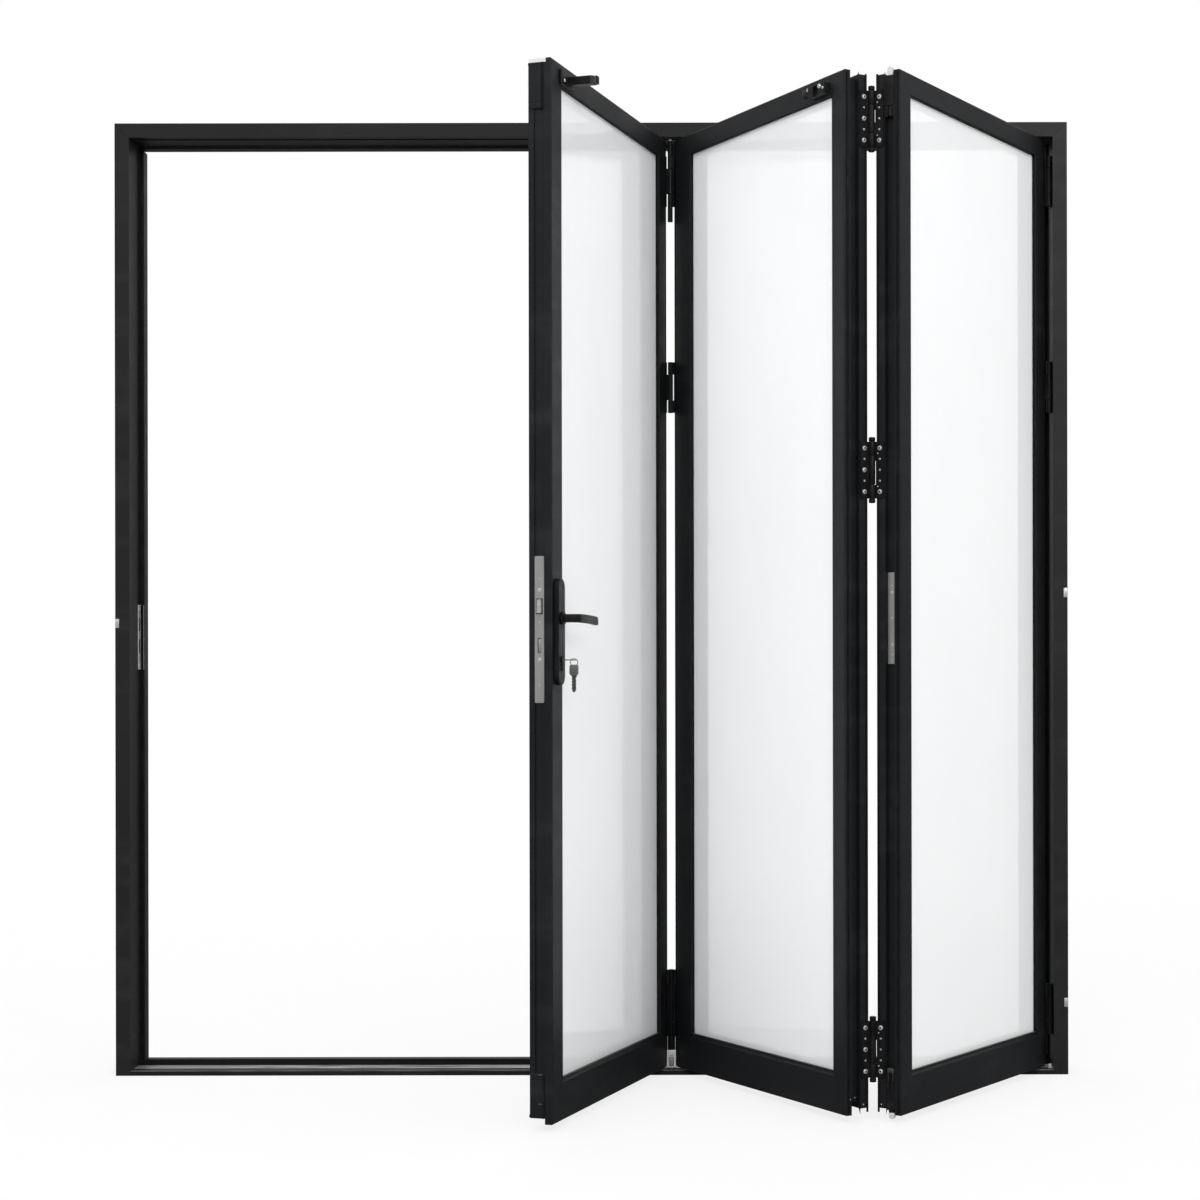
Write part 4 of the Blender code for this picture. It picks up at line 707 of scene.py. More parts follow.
class DOOR_OT_glaze_leaves(bpy.types.Operator):
    """Build each sealed unit from two panes and a spacer bar, bedded in rubber gaskets"""

    bl_idname = "door.glaze_leaves"
    bl_label = "Glaze Leaves"

    def execute(self, context):
        sizes = context.scene.door_fittings
        for leaf in LEAVES:
            space = LeafSpace(leaf)
            low, high = space.local_box(f"{leaf}_glass")
            self.add_panes(space, low, high, sizes.pane)
            self.add_spacer(space, low, high, sizes)
            self.add_gaskets(space, low, high, sizes)
        return {"FINISHED"}

    def add_panes(self, space, low, high, pane):
        """Two panes; the painted reflection is on the outermost face alone."""
        arris = 0.0006
        shape = Shape(space)
        shape.box((low.x, high.y - pane, low.z), high, arris, 1)
        shape.box(low, (high.x, low.y + pane, high.z), arris, 1)
        panes = shape.done(f"{space.leaf}_panes", "pane_glass")
        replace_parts(panes, f"{space.leaf}_glass")
        panes.data.materials.append(material("pane_veil"))
        outer = max(face.center.dot(space.out) for face in panes.data.polygons)
        for face in panes.data.polygons:
            if face.center.dot(space.out) > outer - 0.0001:
                face.material_index = 1

    def add_spacer(self, space, low, high, sizes):
        inset = 0.002
        shape = Shape(space)
        shape.band((low.x + inset, low.z + inset), (high.x - inset, high.z - inset),
                   sizes.spacer_width - inset, low.y + sizes.pane + SEAT,
                   high.y - sizes.pane - SEAT)
        shape.done(f"{space.leaf}_spacer", "spacer_bar")

    def add_gaskets(self, space, low, high, sizes):
        width = sizes.gasket_width
        for side, face, out in (("outer", high.y, 1), ("inner", low.y, -1)):
            near = face + out * SEAT
            shape = Shape(space)
            shape.band((low.x + EDGE_COVER + SEAT, low.z + EDGE_COVER + SEAT),
                       (high.x - EDGE_COVER - SEAT, high.z - EDGE_COVER - SEAT),
                       width, near, near + out * sizes.gasket_rise, width / 3)
            shape.done(f"{space.leaf}_{side}_gasket", "seal_rubber")


class DOOR_OT_fit_seals(bpy.types.Operator):
    """Fit the bulb seals on the frame's stops and the lip seals on the leaves' edges"""

    bl_idname = "door.fit_seals"
    bl_label = "Fit Seals"

    def execute(self, context):
        sizes = context.scene.door_fittings
        self.add_stop_seals(sizes)
        for leaf in LEAVES:
            self.add_edge_seal(leaf, "right", sizes)
            if leaf != "lead_leaf":
                self.add_edge_seal(leaf, "left", sizes)
        return {"FINISHED"}

    def add_stop_seals(self, sizes):
        """A bulb on each jamb's stop, with its stem in the stop."""
        left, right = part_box("left_jamb")[0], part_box("right_jamb")[1]
        middle = JAMB_FACE + JAMB_STOP / 2
        stop = right.y - STOP_DEPTH
        foot = SILL_FACE + sizes.seal_width * 2
        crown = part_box("head")[1].z - HEAD_FACE - SEAT
        half = sizes.seal_width / 2
        half_stem, root, end = 0.0016, 0.0034, 0.001
        for name, x in (("right_jamb_seal", right.x - middle), ("left_jamb_seal", left.x + middle)):
            shape = Shape()
            shape.box((x - half, stop - sizes.seal_rise, foot), (x + half, stop - SEAT, crown),
                      sizes.seal_rise * 0.45, 3)
            shape.box((x - half_stem, stop - SEAT * 2, foot + end),
                      (x + half_stem, stop + root, crown - end))
            shape.done(name, "seal_rubber")

    def add_edge_seal(self, leaf, side, sizes):
        """Rubber lips along a hinged edge: at the corner beside the barrels and at the far lip."""
        shape = Shape(LeafSpace(leaf))
        face, out = shape.space.barrel_face(side)
        heights = (0.004, shape.space.height - 0.004)
        shape.edge_box(side, sizes.lip_reach, (face + out * sizes.lip_rise, face - out * 0.0040),
                       heights, 0.0007)
        far = face - out * (LEAF_THICKNESS - LIP_THICKNESS / 2)
        shape.edge_box(side, 0.0026, (far - 0.0022, far + 0.0022), heights, 0.0009)
        shape.done(f"{leaf}_{side}_edge_seal", "seal_rubber")


class DOOR_OT_dress_hinges(bpy.types.Operator):
    """Paint the hinges and put in their screws"""

    bl_idname = "door.dress_hinges"
    bl_label = "Dress Hinges"

    def execute(self, context):
        sizes = context.scene.door_fittings
        # Each leaf's hinge halves: the joint, the leaf and the edge that they are screwed to
        for joint, leaf, side in (("lead", "lead_leaf", "right"), ("lead", "centre_leaf", "left"),
                                  ("fold", "centre_leaf", "right"), ("fold", "jamb_leaf", "left"),
                                  ("jamb", "jamb_leaf", "right")):
            for level in LEVELS:
                coat("stoved_black", f"{joint}_hinge_{level}_{leaf}_plate")
                self.add_screws(joint, level, LeafSpace(leaf), side, sizes)
        for level in LEVELS:
            coat("stoved_black", f"jamb_hinge_{level}_jamb_plate")
            self.add_jamb_screws(level, sizes)
            self.add_fold_barrel(level)
        self.add_gap_fillers()
        return {"FINISHED"}

    def add_screws(self, joint, level, space, side, sizes):
        """A row of screws in one plate; one half of the fold has a pair of adjusting screws."""
        low, high = space.local_box(f"{joint}_hinge_{level}_{space.leaf}_plate")
        edge, sign = space.edge(side)
        folds = joint == "fold"
        adjustable = folds and space.leaf == "jamb_leaf"
        y = high.y - SCREW_LINE if folds else low.y + SCREW_LINE
        middle = Vector((edge + sign * PLATE_FACE, y, (low.z + high.z) / 2))
        row = sizes.screw_row
        screws, socket_shades = Shape(space), Shape(space)
        for index, rise in enumerate((-row, -row / 2, 0.0, row / 2, row)):
            big = index in (0, 4) or (index == 2 and not adjustable)
            radius, height = ((sizes.large_screw, LARGE_HEAD) if big
                              else (sizes.small_screw, SMALL_HEAD))
            spot = (middle + Vector((0, 0, rise)), (sign, 0, 0), 0.4 + index)
            screws.screw(radius, height, *spot)
            # Painted shade: a dark hexagon stands in each screw head's recess, where the socket lies in
            # shadow
            socket_shades.disc(facing(*spot), radius * SOCKET_SHADE_SHARE, height - 0.0002, 6)
        if adjustable:
            for rise in (-row * 0.76, row * 0.76):
                place = middle + Vector((0, -0.0052, rise))
                screws.screw(sizes.tiny_screw, 0.0008, place, (sign, 0, 0), 1.0)
        name = f"{joint}_{level}_{space.leaf}_plate"
        screws.done(f"{name}_screws", "bright_zinc")
        socket_shades.done(f"{name}_sockets", "seal_rubber", "bright_steel")

    def add_jamb_screws(self, level, sizes):
        """Screws through the plate on the right jamb's reveal."""
        low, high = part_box(f"jamb_hinge_{level}_jamb_plate")
        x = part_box("right_jamb")[1].x - JAMB_FACE - PLATE_FACE
        row = sizes.screw_row
        shape = Shape()
        for index, rise in enumerate((-row, -row / 2, 0.0, row / 2, row)):
            spot = (x, high.y - 0.0105, (low.z + high.z) / 2 + rise)
            shape.screw(sizes.small_screw, SMALL_HEAD, spot, (-1, 0, 0), 0.3 + index)
        shape.done(f"jamb_{level}_jamb_plate_screws", "bright_zinc")

    def add_fold_barrel(self, level):
        """Turned knuckles with domed caps over the fold hinge's packed barrel."""
        shape = Shape(LeafSpace("centre_leaf"))
        low, high = shape.space.local_box(f"fold_hinge_{level}_centre_leaf_plate")
        middle = Vector((-HINGE_GAP / 2, -LEAF_THICKNESS - HINGE_OFFSET, (low.z + high.z) / 2))
        seam = 0.0005
        ends = (high.z - low.z) / 2
        for foot, head in ((-ends, -HALF_KNUCKLE - seam), (-HALF_KNUCKLE + seam, HALF_KNUCKLE - seam),
                           (HALF_KNUCKLE + seam, ends)):
            place = Matrix.Translation(middle + Vector((0, 0, foot)))
            shape.disc(place, BARREL_RADIUS + 0.0011, head - foot, 28, 0.0005)
        for sign in (-1, 1):
            place = middle + Vector((0, 0, sign * (ends + 0.0005)))
            shape.disc(facing(place, (0, 0, sign)), BARREL_RADIUS + 0.0010, 0.0095, 28, 0.0016)
        shape.done(f"fold_{level}_barrel", "stoved_black")

    def add_gap_fillers(self):
        """Wrapped edges of the plates that close the slits beside the barrels."""
        lead, centre, jamb = [LeafSpace(leaf) for leaf in LEAVES]
        start = 0.030
        for level in LEVELS:
            low, high = centre.local_box(f"fold_hinge_{level}_centre_leaf_plate")
            self.add_filler(f"fold_{level}_left", centre, "right", low.z, high.z)
            self.add_filler(f"fold_{level}_right", jamb, "left", (low.z + high.z) / 2 + 0.021, high.z)
        low, high = lead.local_box("lead_hinge_top_lead_leaf_plate")
        self.add_filler("lead_top_right", centre, "left", low.z, high.z + 0.026)
        crown = lead.local_box("lead_hinge_bottom_lead_leaf_plate")[1].z + 0.037
        self.add_filler("lead_foot_left", lead, "right", start, crown)
        self.add_filler("lead_foot_right", centre, "left", start, crown)
        crown = jamb.local_box("jamb_hinge_bottom_jamb_leaf_plate")[1].z
        self.add_filler("jamb_bottom", jamb, "right", start, crown)
        foot = jamb.local_box("jamb_hinge_top_jamb_leaf_plate")[0].z
        self.add_filler("jamb_top", jamb, "right", foot, jamb.height - 0.020)

    def add_filler(self, name, space, side, foot, head):
        face, out = space.barrel_face(side)
        shape = Shape(space)
        shape.edge_box(side, 0.0042, (face - out * 0.0020, face + out * 0.0058), (foot, head), 0.0006)
        shape.done(f"{name}_filler", "seal_rubber")


class DOOR_OT_dress_lock(bpy.types.Operator):
    """Brush the faceplate and add its screws, the deadbolt and the stile's end pieces"""

    bl_idname = "door.dress_lock"
    bl_label = "Dress Lock"

    def execute(self, context):
        coat("brushed_steel_upright", "lock_faceplate")
        coat("bright_zinc", "latch_bolt")
        coat(member_coat("lead_leaf_left_stile"), "top_end_block", "bottom_end_block")
        coat("white_nylon", "stile_cap")
        space = LeafSpace("lead_leaf")
        low, high = space.local_box("lock_faceplate")
        y = (low.y + high.y) / 2
        self.add_faceplate_screws(space, low, high, y)
        self.add_deadbolt(space, high, y)
        self.add_latch_edge(space, high, y)
        self.add_block_collars(space)
        return {"FINISHED"}

    def add_block_collars(self, space):
        """Longer ends of the stile's blocks, with the slots in the lower one and dark strips of painted
        shadow beside the blocks.
        """
        collar, seam, inwards = 0.0140, 0.0050, 0.0100
        slots, shade_strips = Shape(space), Shape(space)
        for end, side in (("top", -1), ("bottom", 1)):
            low, high = space.local_box(f"{end}_end_block")
            near = low.z if end == "top" else high.z
            foot, head = sorted((near + side * SEAT, near + side * collar))
            shape = Shape(space)
            shape.box((low.x + 0.0010, low.y, foot), (high.x, high.y, head), 0.0006)
            shape.done(f"{end}_block_collar", member_coat("lead_leaf_left_stile"))
            # Painted shadow: a thin dark strip along each block's outer side stands for the shadow line
            # in the gap beside the block
            shade_strips.box((high.x + 0.0001, high.y - seam, min(low.z, foot)),
                      (high.x + 0.0005, high.y, max(high.z, head)))
            if end == "bottom":
                y = high.y - inwards
                for level in (near + collar - 0.0020, near - 0.0520):
                    slots.plate((high.x, y - 0.0050, level - 0.0008),
                                (high.x + 0.0004, y + 0.0050, level + 0.0008), 0, 0.0006, 0.0, 2)
        slots.done("end_block_screws", "key_steel", "bright_steel")
        shade_strips.done("end_block_seams", "seal_rubber")

    def add_faceplate_screws(self, space, low, high, y):
        """Two large screws and three small ones, each at a share of the plate's height."""
        shape = Shape(space)
        for radius, rise, turn, shares in ((0.0042, 0.0007, 9, (0.232, 0.706)),
                                           (0.0021, 0.0005, 5, (0.155, 0.452, 0.880))):
            for share in shares:
                place = (high.x, y, high.z - (high.z - low.z) * share)
                shape.screw(radius, rise, place, (1, 0, 0), share * turn)
        shape.done("faceplate_screws", "bright_zinc")

    def add_deadbolt(self, space, high, y):
        """Hook bolt resting back in its slot."""
        middle = 1.070 - space.foot
        shape = Shape(space)
        shape.box((high.x - 0.0150, y - 0.0034, middle - 0.0150),
                  (high.x - 0.0016, y + 0.0034, middle + 0.0150), 0.0012)
        shape.done("deadbolt", "brushed_steel_upright")

    def add_latch_edge(self, space, high, y):
        """Painted shade: dark strips round the latch's opening in the faceplate, where the gap round
        the latch lies in shadow.
        """
        low_latch, high_latch = space.local_box("latch_bolt")
        rim, play = 0.0016, 0.0004
        side = (high_latch.y - low_latch.y) / 2 + play
        foot, head = low_latch.z - play, high_latch.z + play
        near_x, far_x = high.x + 0.0001, high.x + 0.0005
        shape = Shape(space)
        for edge in (-1, 1):
            near, far = sorted((y + edge * side, y + edge * (side + rim)))
            shape.box((near_x, near, foot - rim), (far_x, far, head + rim))
        for near, far in ((foot - rim, foot), (head, head + rim)):
            shape.box((near_x, y - side, near), (far_x, y + side, far))
        shape.done("latch_lining", "seal_rubber")


class DOOR_OT_dress_handle(bpy.types.Operator):
    """Shape the lever and finish the backplate and cylinder"""

    bl_idname = "door.dress_handle"
    bl_label = "Dress Handle"

    def execute(self, context):
        coat("stoved_black", "backplate", "lock_cylinder")
        space = LeafSpace("lead_leaf")
        place = next(joint["pos_m"] for joint in frame["joints"] if joint["name"] == "lever_turn")
        self.add_lever(space, space.matrix.inverted() @ Vector(place))
        return {"FINISHED"}

    def add_lever(self, space, axis):
        """A neck out of the rose, a round bend and a flat grip that sags a little to its tip."""
        up = Vector((0, 0, 1))
        base, depth, bend, length = 0.0128, 0.0485, 0.0150, 0.1225
        neck_width, neck_thickness = 0.0185, 0.0170
        stations = [(axis + Vector((0, rise, 0)), (0, 1, 0), up, neck_width, neck_thickness)
                    for rise in (base + 0.003, base + 0.012, depth - bend)]
        for step in range(1, 6):
            share = step / 6
            across, out = math.cos(math.pi / 2 * share), math.sin(math.pi / 2 * share)
            place = axis + Vector((-bend + bend * across, depth - bend + bend * out, 0))
            stations.append((place, (-out, across, 0), up, neck_width + 0.0007 * share,
                             neck_thickness - 0.0050 * share))
        for share in (0.0, 0.2, 0.4, 0.6, 0.8, 1.0):
            reach = bend + (length - bend) * share
            place = axis + Vector((-reach, depth - 0.0035 * share ** 2, -0.0030 * share ** 2))
            stations.append((place, (-1, -0.06 * share, -0.05 * share), up, 0.0192, 0.0120))
        shape = Shape(space)
        shape.sweep(stations)
        self.slant_tip(shape, axis.x - length)
        shape.disc(facing(axis + Vector((0, base, 0)), (0, 1, 0)), 0.0140, 0.0052, 32, 0.0012)
        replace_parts(shape.done("lever", "stoved_black", "leaf_paint", "lever", 40.0), "lever_handle")

    def slant_tip(self, shape, tip):
        """Lean the lever's end face and break its edge."""
        for vert in shape.bm.verts:
            if vert.co.x < tip + 0.0005:
                vert.co.x += 0.10 * (vert.co.z - min(other.co.z for other in shape.bm.verts))
        ends = [face for face in shape.bm.faces
                if len(face.verts) > 4 and face.calc_center_median().x < tip + 0.003]
        shape.bevel({edge for face in ends for edge in face.edges}, 0.0006)


class DOOR_OT_hang_keys(bpy.types.Operator):
    """Put the ring through the key's bow and hang the second key from it"""

    bl_idname = "door.hang_keys"
    bl_label = "Hang Keys"

    def execute(self, context):
        coat("key_steel", "door_key")
        space = LeafSpace("lead_leaf")
        low, high = space.local_box("key_ring")
        x = (low.x + high.x) / 2
        y = (low.y + high.y) / 2 - 0.0071
        self.add_ring(space, Vector((x, y, high.z)))
        self.add_spare_key(space, x, y, high.z - 0.0140, low.z)
        return {"FINISHED"}

    def add_ring(self, space, top):
        """Split ring of two turns of wire."""
        radius, wire = 0.0085, 0.0007
        shape = Shape(space)
        for offset in (-wire, wire):
            centre = top + Vector((offset, 0, -radius - wire))
            turned = Matrix.Translation(centre + Vector((0, 0, radius))) @ Matrix.Rotation(
                math.pi / 2, 4, "X")
            verts = bmesh.ops.create_circle(shape.bm, cap_ends=False, segments=10, radius=wire,
                                            matrix=turned)["verts"]
            edges = list({edge for vert in verts for edge in vert.link_edges})
            bmesh.ops.spin(shape.bm, geom=edges + verts, cent=centre, axis=(1, 0, 0),
                           dvec=(0, 0, 0), angle=2 * math.pi, steps=40, use_merge=True)
        shape.done("split_ring", "key_steel")

    def add_spare_key(self, space, x, y, head_top, foot):
        """Second key: a moulded head with cut corners over a notched blade."""
        head_foot = head_top - 0.0240
        shape = Shape(space)
        shape.plate((x - 0.0021, y - 0.0104, head_foot), (x + 0.0021, y + 0.0104, head_top), 0,
                    0.0045, 0.0008, 2)
        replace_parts(shape.done("spare_key_head", "key_steel"), "key_ring")
        shape = Shape(space)
        edges = shape.block((x - 0.0011, y - 0.0061, foot), (x + 0.0011, y + 0.0061, head_foot + 0.004))
        long_edges = [edge for edge in edges if abs(edge.verts[0].co.z - edge.verts[1].co.z) > 0.01]
        bmesh.ops.subdivide_edges(shape.bm, edges=long_edges, cuts=19, use_grid_fill=True)
        for vert in shape.bm.verts:
            down = head_foot - vert.co.z
            side = 1 if vert.co.y > y else -1
            if down > 0.004:
                cut = 0.0016 * (1 + math.sin(down * 1500 + side) * math.cos(down * 640))
                vert.co.y -= side * cut
            if vert.co.z < foot + 0.003:
                vert.co.y = y + (vert.co.y - y) * 0.50
        shape.done("spare_key_blade", "key_blade_steel")


class DOOR_OT_dress_keep(bpy.types.Operator):
    """Finish the keep on the left jamb with its screws and pockets"""

    bl_idname = "door.dress_keep"
    bl_label = "Dress Keep"

    def execute(self, context):
        coat("keep_steel", "lock_keep")
        low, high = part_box("lock_keep")
        x = low.x + 0.0017
        y = (low.y + high.y) / 2 - 0.003
        height = high.z - low.z
        shape = Shape()
        for share in (0.07, 0.93):
            shape.screw(0.0034, 0.0010, (x, y, low.z + height * share), (1, 0, 0), share * 7)
        shape.done("keep_screws", "bright_zinc")
        rim = 0.0016
        shape = Shape()
        for near, far in ((low.y, low.y + rim), (high.y - rim, high.y)):
            shape.box((x, near, low.z), (x + 0.0009, far, high.z), 0.0002, 1)
        for near, far in ((low.z, low.z + rim), (high.z - rim, high.z)):
            shape.box((x, low.y + rim, near), (x + 0.0009, high.y - rim, far), 0.0002, 1)
        shape.done("keep_rim", "keep_rim_steel")
        # Painted shade: two dark sheets on the keep's face stand for the shadowed openings of its
        # pockets
        shape = Shape()
        for share, half in ((0.70, 0.0170), (0.36, 0.0180)):
            middle = low.z + height * share
            shape.box((x, y - 0.0052, middle - half), (x + 0.0004, y + 0.0052, middle + half),
                      0.0001, 1)
        shape.done("keep_pockets", "seal_rubber")
        return {"FINISHED"}


class DOOR_OT_dress_bolts(bpy.types.Operator):
    """Finish the shoot bolts, their guides and the gearbox plate"""

    bl_idname = "door.dress_bolts"
    bl_label = "Dress Bolts"

    def execute(self, context):
        for end in ("top", "bottom"):
            coat("black_nylon", f"{end}_bolt_guide")
            coat(f"{end}_bolt_nylon", f"{end}_shoot_bolt")
        coat("brushed_steel_upright", "gearbox_plate")
        space = LeafSpace("jamb_leaf")
        self.add_gearbox_screws(space)
        self.add_bolt_bracket(space)
        self.add_bolt_cover(space)
        self.add_corner_screws(space)
        return {"FINISHED"}

    def add_gearbox_screws(self, space):
        """Two large screws and three small ones, each at a share of the plate's height."""
        low, high = space.local_box("gearbox_plate")
        shape = Shape(space)
        for radius, rise, turn, shares in ((0.0040, 0.0008, 8, (0.21, 0.78)),
                                           (0.0020, 0.0005, 3, (0.10, 0.50, 0.86))):
            for share in shares:
                place = (high.x, (low.y + high.y) / 2, low.z + (high.z - low.z) * share)
                shape.screw(radius, rise, place, (1, 0, 0), share * turn)
        shape.done("gearbox_screws", "bright_zinc")

    def add_bolt_cover(self, space):
        """Wider face plate over the upper guide, open at its fork."""
        low, high = space.local_box("top_bolt_guide")
        shape = Shape(space)
        shape.plate((high.x + SEAT, low.y - 0.0022, high.z - 0.0680),
                    (high.x + 0.0022, high.y + 0.0022, high.z - 0.0010), 0, 0.0030, 0.0005, 3)
        shape.done("bolt_cover", "black_nylon")

    def add_bolt_bracket(self, space):
        """Bent strap over the bottom guide's prongs, and the slot and seam below it."""
        low, high = space.local_box("bottom_bolt_guide")
        face = high.x + SEAT
        shape = Shape(space)
        shape.plate((face, low.y + 0.0030, high.z - 0.0100),
                    (high.x + 0.0012, high.y - 0.0030, high.z + 0.0010), 0, 0.0030, 0.0003, 3)
        for y in (low.y + 0.0052, high.y - 0.0052):
            shape.box((face, y - 0.0006, high.z - 0.0300),
                      (high.x + 0.0014, y + 0.0006, high.z - 0.0102))
        shape.done("bolt_strap", "strap_steel")
        middle = (low.y + high.y) / 2
        seam = low.z + 0.0600
        shape = Shape(space)
        shape.box((face, middle - 0.0022, seam + 0.0020),
                  (high.x + 0.0016, middle + 0.0022, high.z - 0.0060))
        shape.box((face, low.y + 0.0010, seam), (high.x + 0.0008, high.y - 0.0010, seam + 0.0016))
        shape.done("bolt_guide_slot", "seal_rubber")

    def add_corner_screws(self, jamb_leaf):
        """Small screws that close the corner joints at the foot of the fold's edges."""
        size = (0.0017, 0.0010)
        shape = Shape(LeafSpace("centre_leaf"))
        for place in ((0.0, -0.0125, 0.0360), (EDGE_GROOVE_DEPTH, -0.0350, 0.0360),
                      (0.0, -0.0485, 0.0215)):
            shape.screw(*size, place, (-1, 0, 0))
        shape.done("centre_corner_screws", "bright_zinc")
        shape = Shape(jamb_leaf)
        shape.screw(*size, (jamb_leaf.width, -0.0525, 0.0215), (1, 0, 0))
        shape.done("jamb_corner_screw", "bright_zinc")


class DOOR_OT_dress_catch(bpy.types.Operator):
    """Finish the catch that holds the folded leaves together"""

    bl_idname = "door.dress_catch"
    bl_label = "Dress Catch"

    def execute(self, context):
        coat("stoved_black", "catch_arm")
        coat("black_nylon", "catch_keeper")
        self.dress_arm(LeafSpace("lead_leaf"))
        self.dress_keeper(LeafSpace("centre_leaf"))
        return {"FINISHED"}

    def dress_arm(self, space):
        """Screws in the arm's foot, and the pad and nose at its end."""
        low, high = space.local_box("catch_arm")
        middle = (low.z + high.z) / 2
        arm = low.x + (high.x - low.x) / 3
        shape = Shape(space)
        shape.screw(0.0038, 0.0020, (high.x - 0.018, 0.0060, middle - 0.005), (0, 1, 0), 0.5)
        shape.screw(0.0034, 0.0014, (low.x + 0.007, 0.0060, middle + 0.008), (0, 1, 0), 0.2)
        shape.done("catch_arm_screws", "bright_zinc")
        shape = Shape(space)
        shape.box((arm - 0.0080, high.y + SEAT, middle - 0.0078),
                  (arm + 0.0040, high.y + 0.0014, middle + 0.0078), 0.0004, 1)
        shape.done("catch_arm_pad", "white_nylon")
        shape = Shape(space)
        shape.plate((arm - 0.0090, high.y + 0.0016, middle - 0.0088),
                    (arm + 0.0060, high.y + 0.0058, middle + 0.0088), 1, 0.0014, 0.0006, 2)
        shape.done("catch_arm_nose", "stoved_black")

    def dress_keeper(self, space):
        """Lozenge base plate behind the keeper's block, and the screws of both."""
        low, high = space.local_box("catch_keeper")
        base_top = 0.0050
        shape = Shape(space)
        shape.plate((0.0700, SEAT, 2.3125), (0.1640, base_top, 2.3320), 1, 0.0090, 0.0008)
        shape.done("keeper_base", "stoved_black")
        shape = Shape(space)
        shape.screw(0.0042, 0.0026, (0.1380, base_top, 2.3265), (0, 1, 0), 0.4)
        shape.screw(0.0054, 0.0030, (0.0756, high.y, 2.3200), (0, 1, 0), 0.9)
        shape.screw(0.0032, 0.0020, (low.x + 0.0040, high.y, 2.3140), (0, 1, 0), 0.1)
        shape.done("catch_keeper_screws", "bright_zinc")


class DOOR_OT_dress_track(bpy.types.Operator):
    """Finish the truck and the bottom guide and add the guide's cheeks and the foot pivot"""

    bl_idname = "door.dress_track"
    bl_label = "Dress Track"

    def execute(self, context):
        coat("brushed_steel_upright", "top_truck")
        coat("guide_metal", "bottom_guide")
        self.dress_guide()
        self.add_foot_pivot()
        return {"FINISHED"}

    def dress_guide(self):
        """Cheeks over the guide's sides, and a plate on its front framed by a dark sheet of painted
        shade that stands for a recess.
        """
        low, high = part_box("bottom_guide")
        centre = (low.x + high.x) / 2
        middle = (low.z + high.z) / 2 - 0.002
        shape = Shape()
        for x in (centre - 0.0098, centre + 0.0098):
            shape.box((x - 0.0008, low.y + 0.005, high.z - 0.004),
                      (x + 0.0008, low.y + 0.011, high.z + 0.034), 0.0004, 1)
        shape.done("guide_cheeks", "bright_zinc")
        # Painted shade: a dark sheet behind the plate stands for the shadow in the recess round it
        shape = Shape()
        shape.box((centre - 0.0064, low.y - 0.0004, middle - 0.0110),
                  (centre + 0.0064, low.y - 0.0001, middle + 0.0110))
        shape.done("guide_recess", "seal_rubber")
        shape = Shape()
        shape.plate((centre - 0.0054, low.y - 0.0016, middle - 0.0100),
                    (centre + 0.0054, low.y - 0.0005, middle + 0.0100), 1, 0.0012, 0.0004, 2)
        shape.done("guide_face", "brushed_steel_upright")

    def add_foot_pivot(self):
        """White block and pin under the jamb hinge's axis."""
        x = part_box("right_jamb")[1].x - JAMB_FACE - HINGE_GAP / 2
        block_top = SILL_FACE + 0.0020
        shape = Shape()
        shape.box((x - 0.0045, -0.046, SILL_FACE + SEAT), (x + 0.0090, -0.034, block_top), 0.0005)
        shape.disc(facing((x, -0.0400, block_top), (0, 0, 1)), 0.0042, 0.0080, 20, 0.0010)
        shape.done("foot_pivot", "white_nylon", "bright_steel")


class DOOR_OT_fit_cleats(bpy.types.Operator):
    """Clip the bare fixing cleats to the outer edges of the jambs"""

    bl_idname = "door.fit_cleats"
    bl_label = "Fit Cleats"

    def execute(self, context):
        sizes = context.scene.door_fittings
        left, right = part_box("left_jamb")[0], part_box("right_jamb")[1]
        shape = Shape()
        for x, side, level in ((left.x, 1, 1.140), (right.x, -1, 1.214), (right.x, -1, 0.182)):
            near, far = sorted((x + side * 0.0004, x + side * sizes.cleat_width))
            shape.box((near, left.y - 0.0014, level - sizes.cleat_height / 2),
                      (far, left.y - SEAT, level + sizes.cleat_height / 2), 0.0004)
        shape.done("fixing_cleats", "bright_zinc")
        return {"FINISHED"}


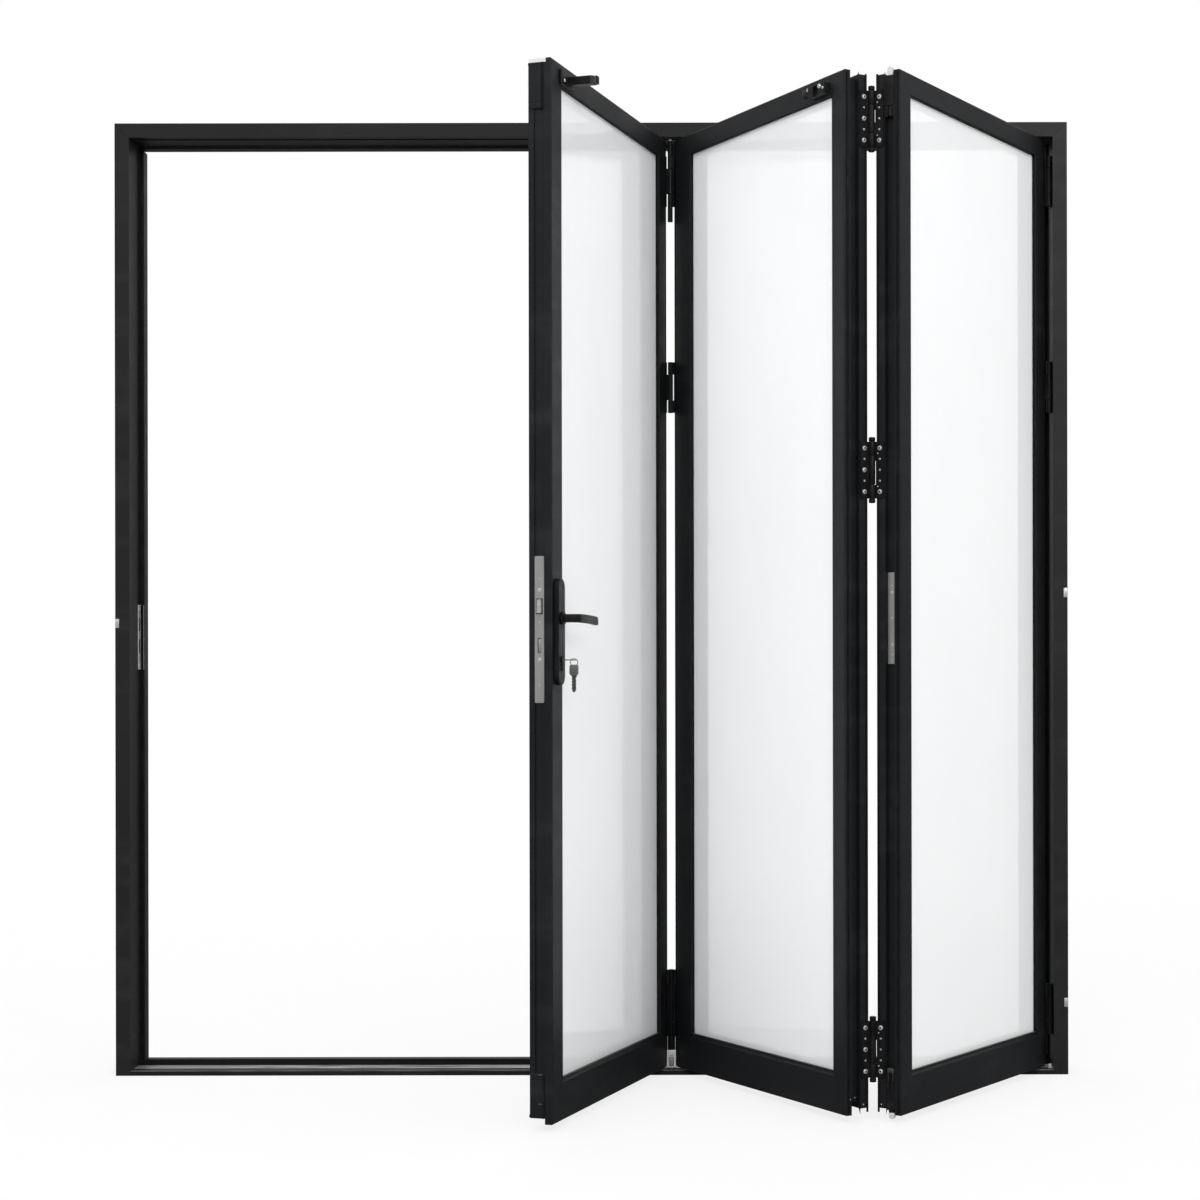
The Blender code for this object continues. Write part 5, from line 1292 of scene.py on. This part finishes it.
class DOOR_OT_set_stage(bpy.types.Operator):
    """Lay the pale floor and set the plain soft light and the camera"""

    bl_idname = "door.set_stage"
    bl_label = "Set Stage"

    def execute(self, context):
        settings = context.scene.door_stage
        self.lay_floor(settings)
        self.light_room(settings)
        self.add_lamp("front_lamp", (-0.3, -5.6, 4.4), (0.2, 0, 1.1), 3.2, 110, False)
        self.add_lamp("side_lamp", (2.3, -5.6, 3.8), (0.9, 0, 1.8), 1.1, 55, True)
        self.add_lamp("back_lamp", (-1.0, 4.5, 4.2), (0, 0, 1.0), 3.0, 45, False)
        self.place_camera(settings)
        context.scene.view_settings.view_transform = "Standard"
        return {"FINISHED"}

    def add_object(self, name, data):
        """Link a new object that belongs to the stage."""
        item = bpy.data.objects.new(name, data)
        bpy.context.scene.collection.objects.link(item)
        return item

    def lay_floor(self, settings):
        bm = bmesh.new()
        bmesh.ops.create_grid(bm, x_segments=1, y_segments=1, size=30.0)
        mesh = bpy.data.meshes.new("studio_floor")
        bm.to_mesh(mesh)
        bm.free()
        floor = self.add_object("studio_floor", mesh)
        mesh.materials.append(self.floor_finish(settings))

    def floor_finish(self, settings):
        """Pale matt floor that fades into plain white away from the door."""
        finish = Finish("pale_floor")
        pale = finish.mix(finish.noise(3.0, 4.0), (0.80, 0.80, 0.80), (0.84, 0.84, 0.84))
        seen, mirrored = finish.background_rays()
        lit = finish.mix(seen, tuple(settings.floor_bounce), pale)
        dim = (settings.floor_gloss,) * 3
        finish.link(finish.mix(mirrored, lit, dim), finish.shader.inputs["Base Color"])
        finish.shader.inputs["Roughness"].default_value = 0.9
        finish.shader.inputs["Specular IOR Level"].default_value = 0.1
        far = finish.add("VectorMath", operation="LENGTH")
        finish.link(finish.place(), far.inputs[0])
        fade = finish.spread(far.outputs["Value"], 2.2, 6.0, settings.floor_white, 1.0)
        gloss = finish.spread(mirrored, 0.0, 1.0, 0.0, settings.floor_gloss)
        white = finish.join("MAXIMUM", finish.join("MULTIPLY", fade, seen), gloss)
        glow = finish.add("Emission", Strength=1.0)
        surface = finish.choose(white, finish.shader.outputs[0], glow.outputs[0])
        finish.link(surface, finish.nodes["Material Output"].inputs["Surface"])
        return finish.material

    def light_room(self, settings):
        """Even light for the surfaces, white for what is seen, a dimmer horizon in the gloss."""
        world = bpy.context.scene.world = bpy.data.worlds.new("studio_room")
        room = Nodes(world)
        even = room.nodes["Background"]
        even.inputs["Color"].default_value = (1, 1, 1, 1)
        white = room.add("Background", Color=(1, 1, 1, 1))
        gloss = room.add("Background", Color=(1, 1, 1, 1))
        rise = room.along("Z", "Generated")
        light = settings.room_light
        room.link(room.spread(rise, 0.0, 1.0, light, light * settings.zenith), even.inputs["Strength"])
        room.link(room.spread(rise, 0.0, 0.55, settings.low_shade, 1.0), gloss.inputs["Strength"])
        seen, mirrored = room.background_rays()
        unseen = room.choose(mirrored, even.outputs[0], gloss.outputs[0])
        room.link(room.choose(seen, unseen, white.outputs[0]),
                  room.nodes["World Output"].inputs["Surface"])

    def add_lamp(self, name, place, target, size, power, mirrored):
        light = bpy.data.lights.new(name, "AREA")
        light.shape = "SQUARE"
        light.size = size
        light.energy = power
        lamp = self.add_object(name, light)
        lamp.location = place
        lamp.rotation_euler = (Vector(target) - Vector(place)).to_track_quat("-Z", "Y").to_euler()
        lamp.visible_camera = False
        lamp.visible_transmission = False
        lamp.visible_glossy = mirrored

    def place_camera(self, settings):
        data = bpy.data.cameras.new("photo_camera")
        data.sensor_width = 36.0
        data.lens = settings.camera_lens
        data.shift_x = settings.shift_x
        data.shift_y = settings.shift_y
        camera = self.add_object("photo_camera", data)
        camera.location = settings.camera_place
        camera.rotation_euler = (math.pi / 2, settings.camera_roll, 0)
        bpy.context.scene.camera = camera


DRESSING = (
    DOOR_OT_coat_frame, DOOR_OT_coat_leaves, DOOR_OT_glaze_leaves, DOOR_OT_fit_seals,
    DOOR_OT_dress_hinges, DOOR_OT_dress_lock, DOOR_OT_dress_handle, DOOR_OT_hang_keys,
    DOOR_OT_dress_keep, DOOR_OT_dress_bolts, DOOR_OT_dress_catch, DOOR_OT_dress_track,
    DOOR_OT_fit_cleats, DOOR_OT_set_stage,
)
SETTINGS = (
    ("door_finishes", DoorFinishes),
    ("door_fittings", DoorFittings),
    ("door_stage", DoorStage),
)


class DOOR_PT_dressing(bpy.types.Panel):
    """Sizes, colours and one button for each group of pieces"""

    bl_idname = "DOOR_PT_dressing"
    bl_label = "Patio Door"
    bl_space_type = "VIEW_3D"
    bl_region_type = "UI"
    bl_category = "Patio Door"

    def draw(self, context):
        for label, kind in SETTINGS:
            box = self.layout.box()
            for name in kind.__annotations__:
                box.prop(getattr(context.scene, label), name)
        for operator in DRESSING:
            self.layout.operator(operator.bl_idname)


def register():
    for name, group in SETTINGS:
        bpy.utils.register_class(group)
        setattr(bpy.types.Scene, name, PointerProperty(type=group))
    for operator in DRESSING:
        bpy.utils.register_class(operator)
    bpy.utils.register_class(DOOR_PT_dressing)


def unregister():
    bpy.utils.unregister_class(DOOR_PT_dressing)
    for operator in reversed(DRESSING):
        bpy.utils.unregister_class(operator)
    for name, group in reversed(SETTINGS):
        delattr(bpy.types.Scene, name)
        bpy.utils.unregister_class(group)


def main():
    """Register the add-on and dress the door in order."""
    register()
    for operator in DRESSING:
        group, name = operator.bl_idname.split(".")
        getattr(getattr(bpy.ops, group), name)()


if __name__ == "__main__":
    main()
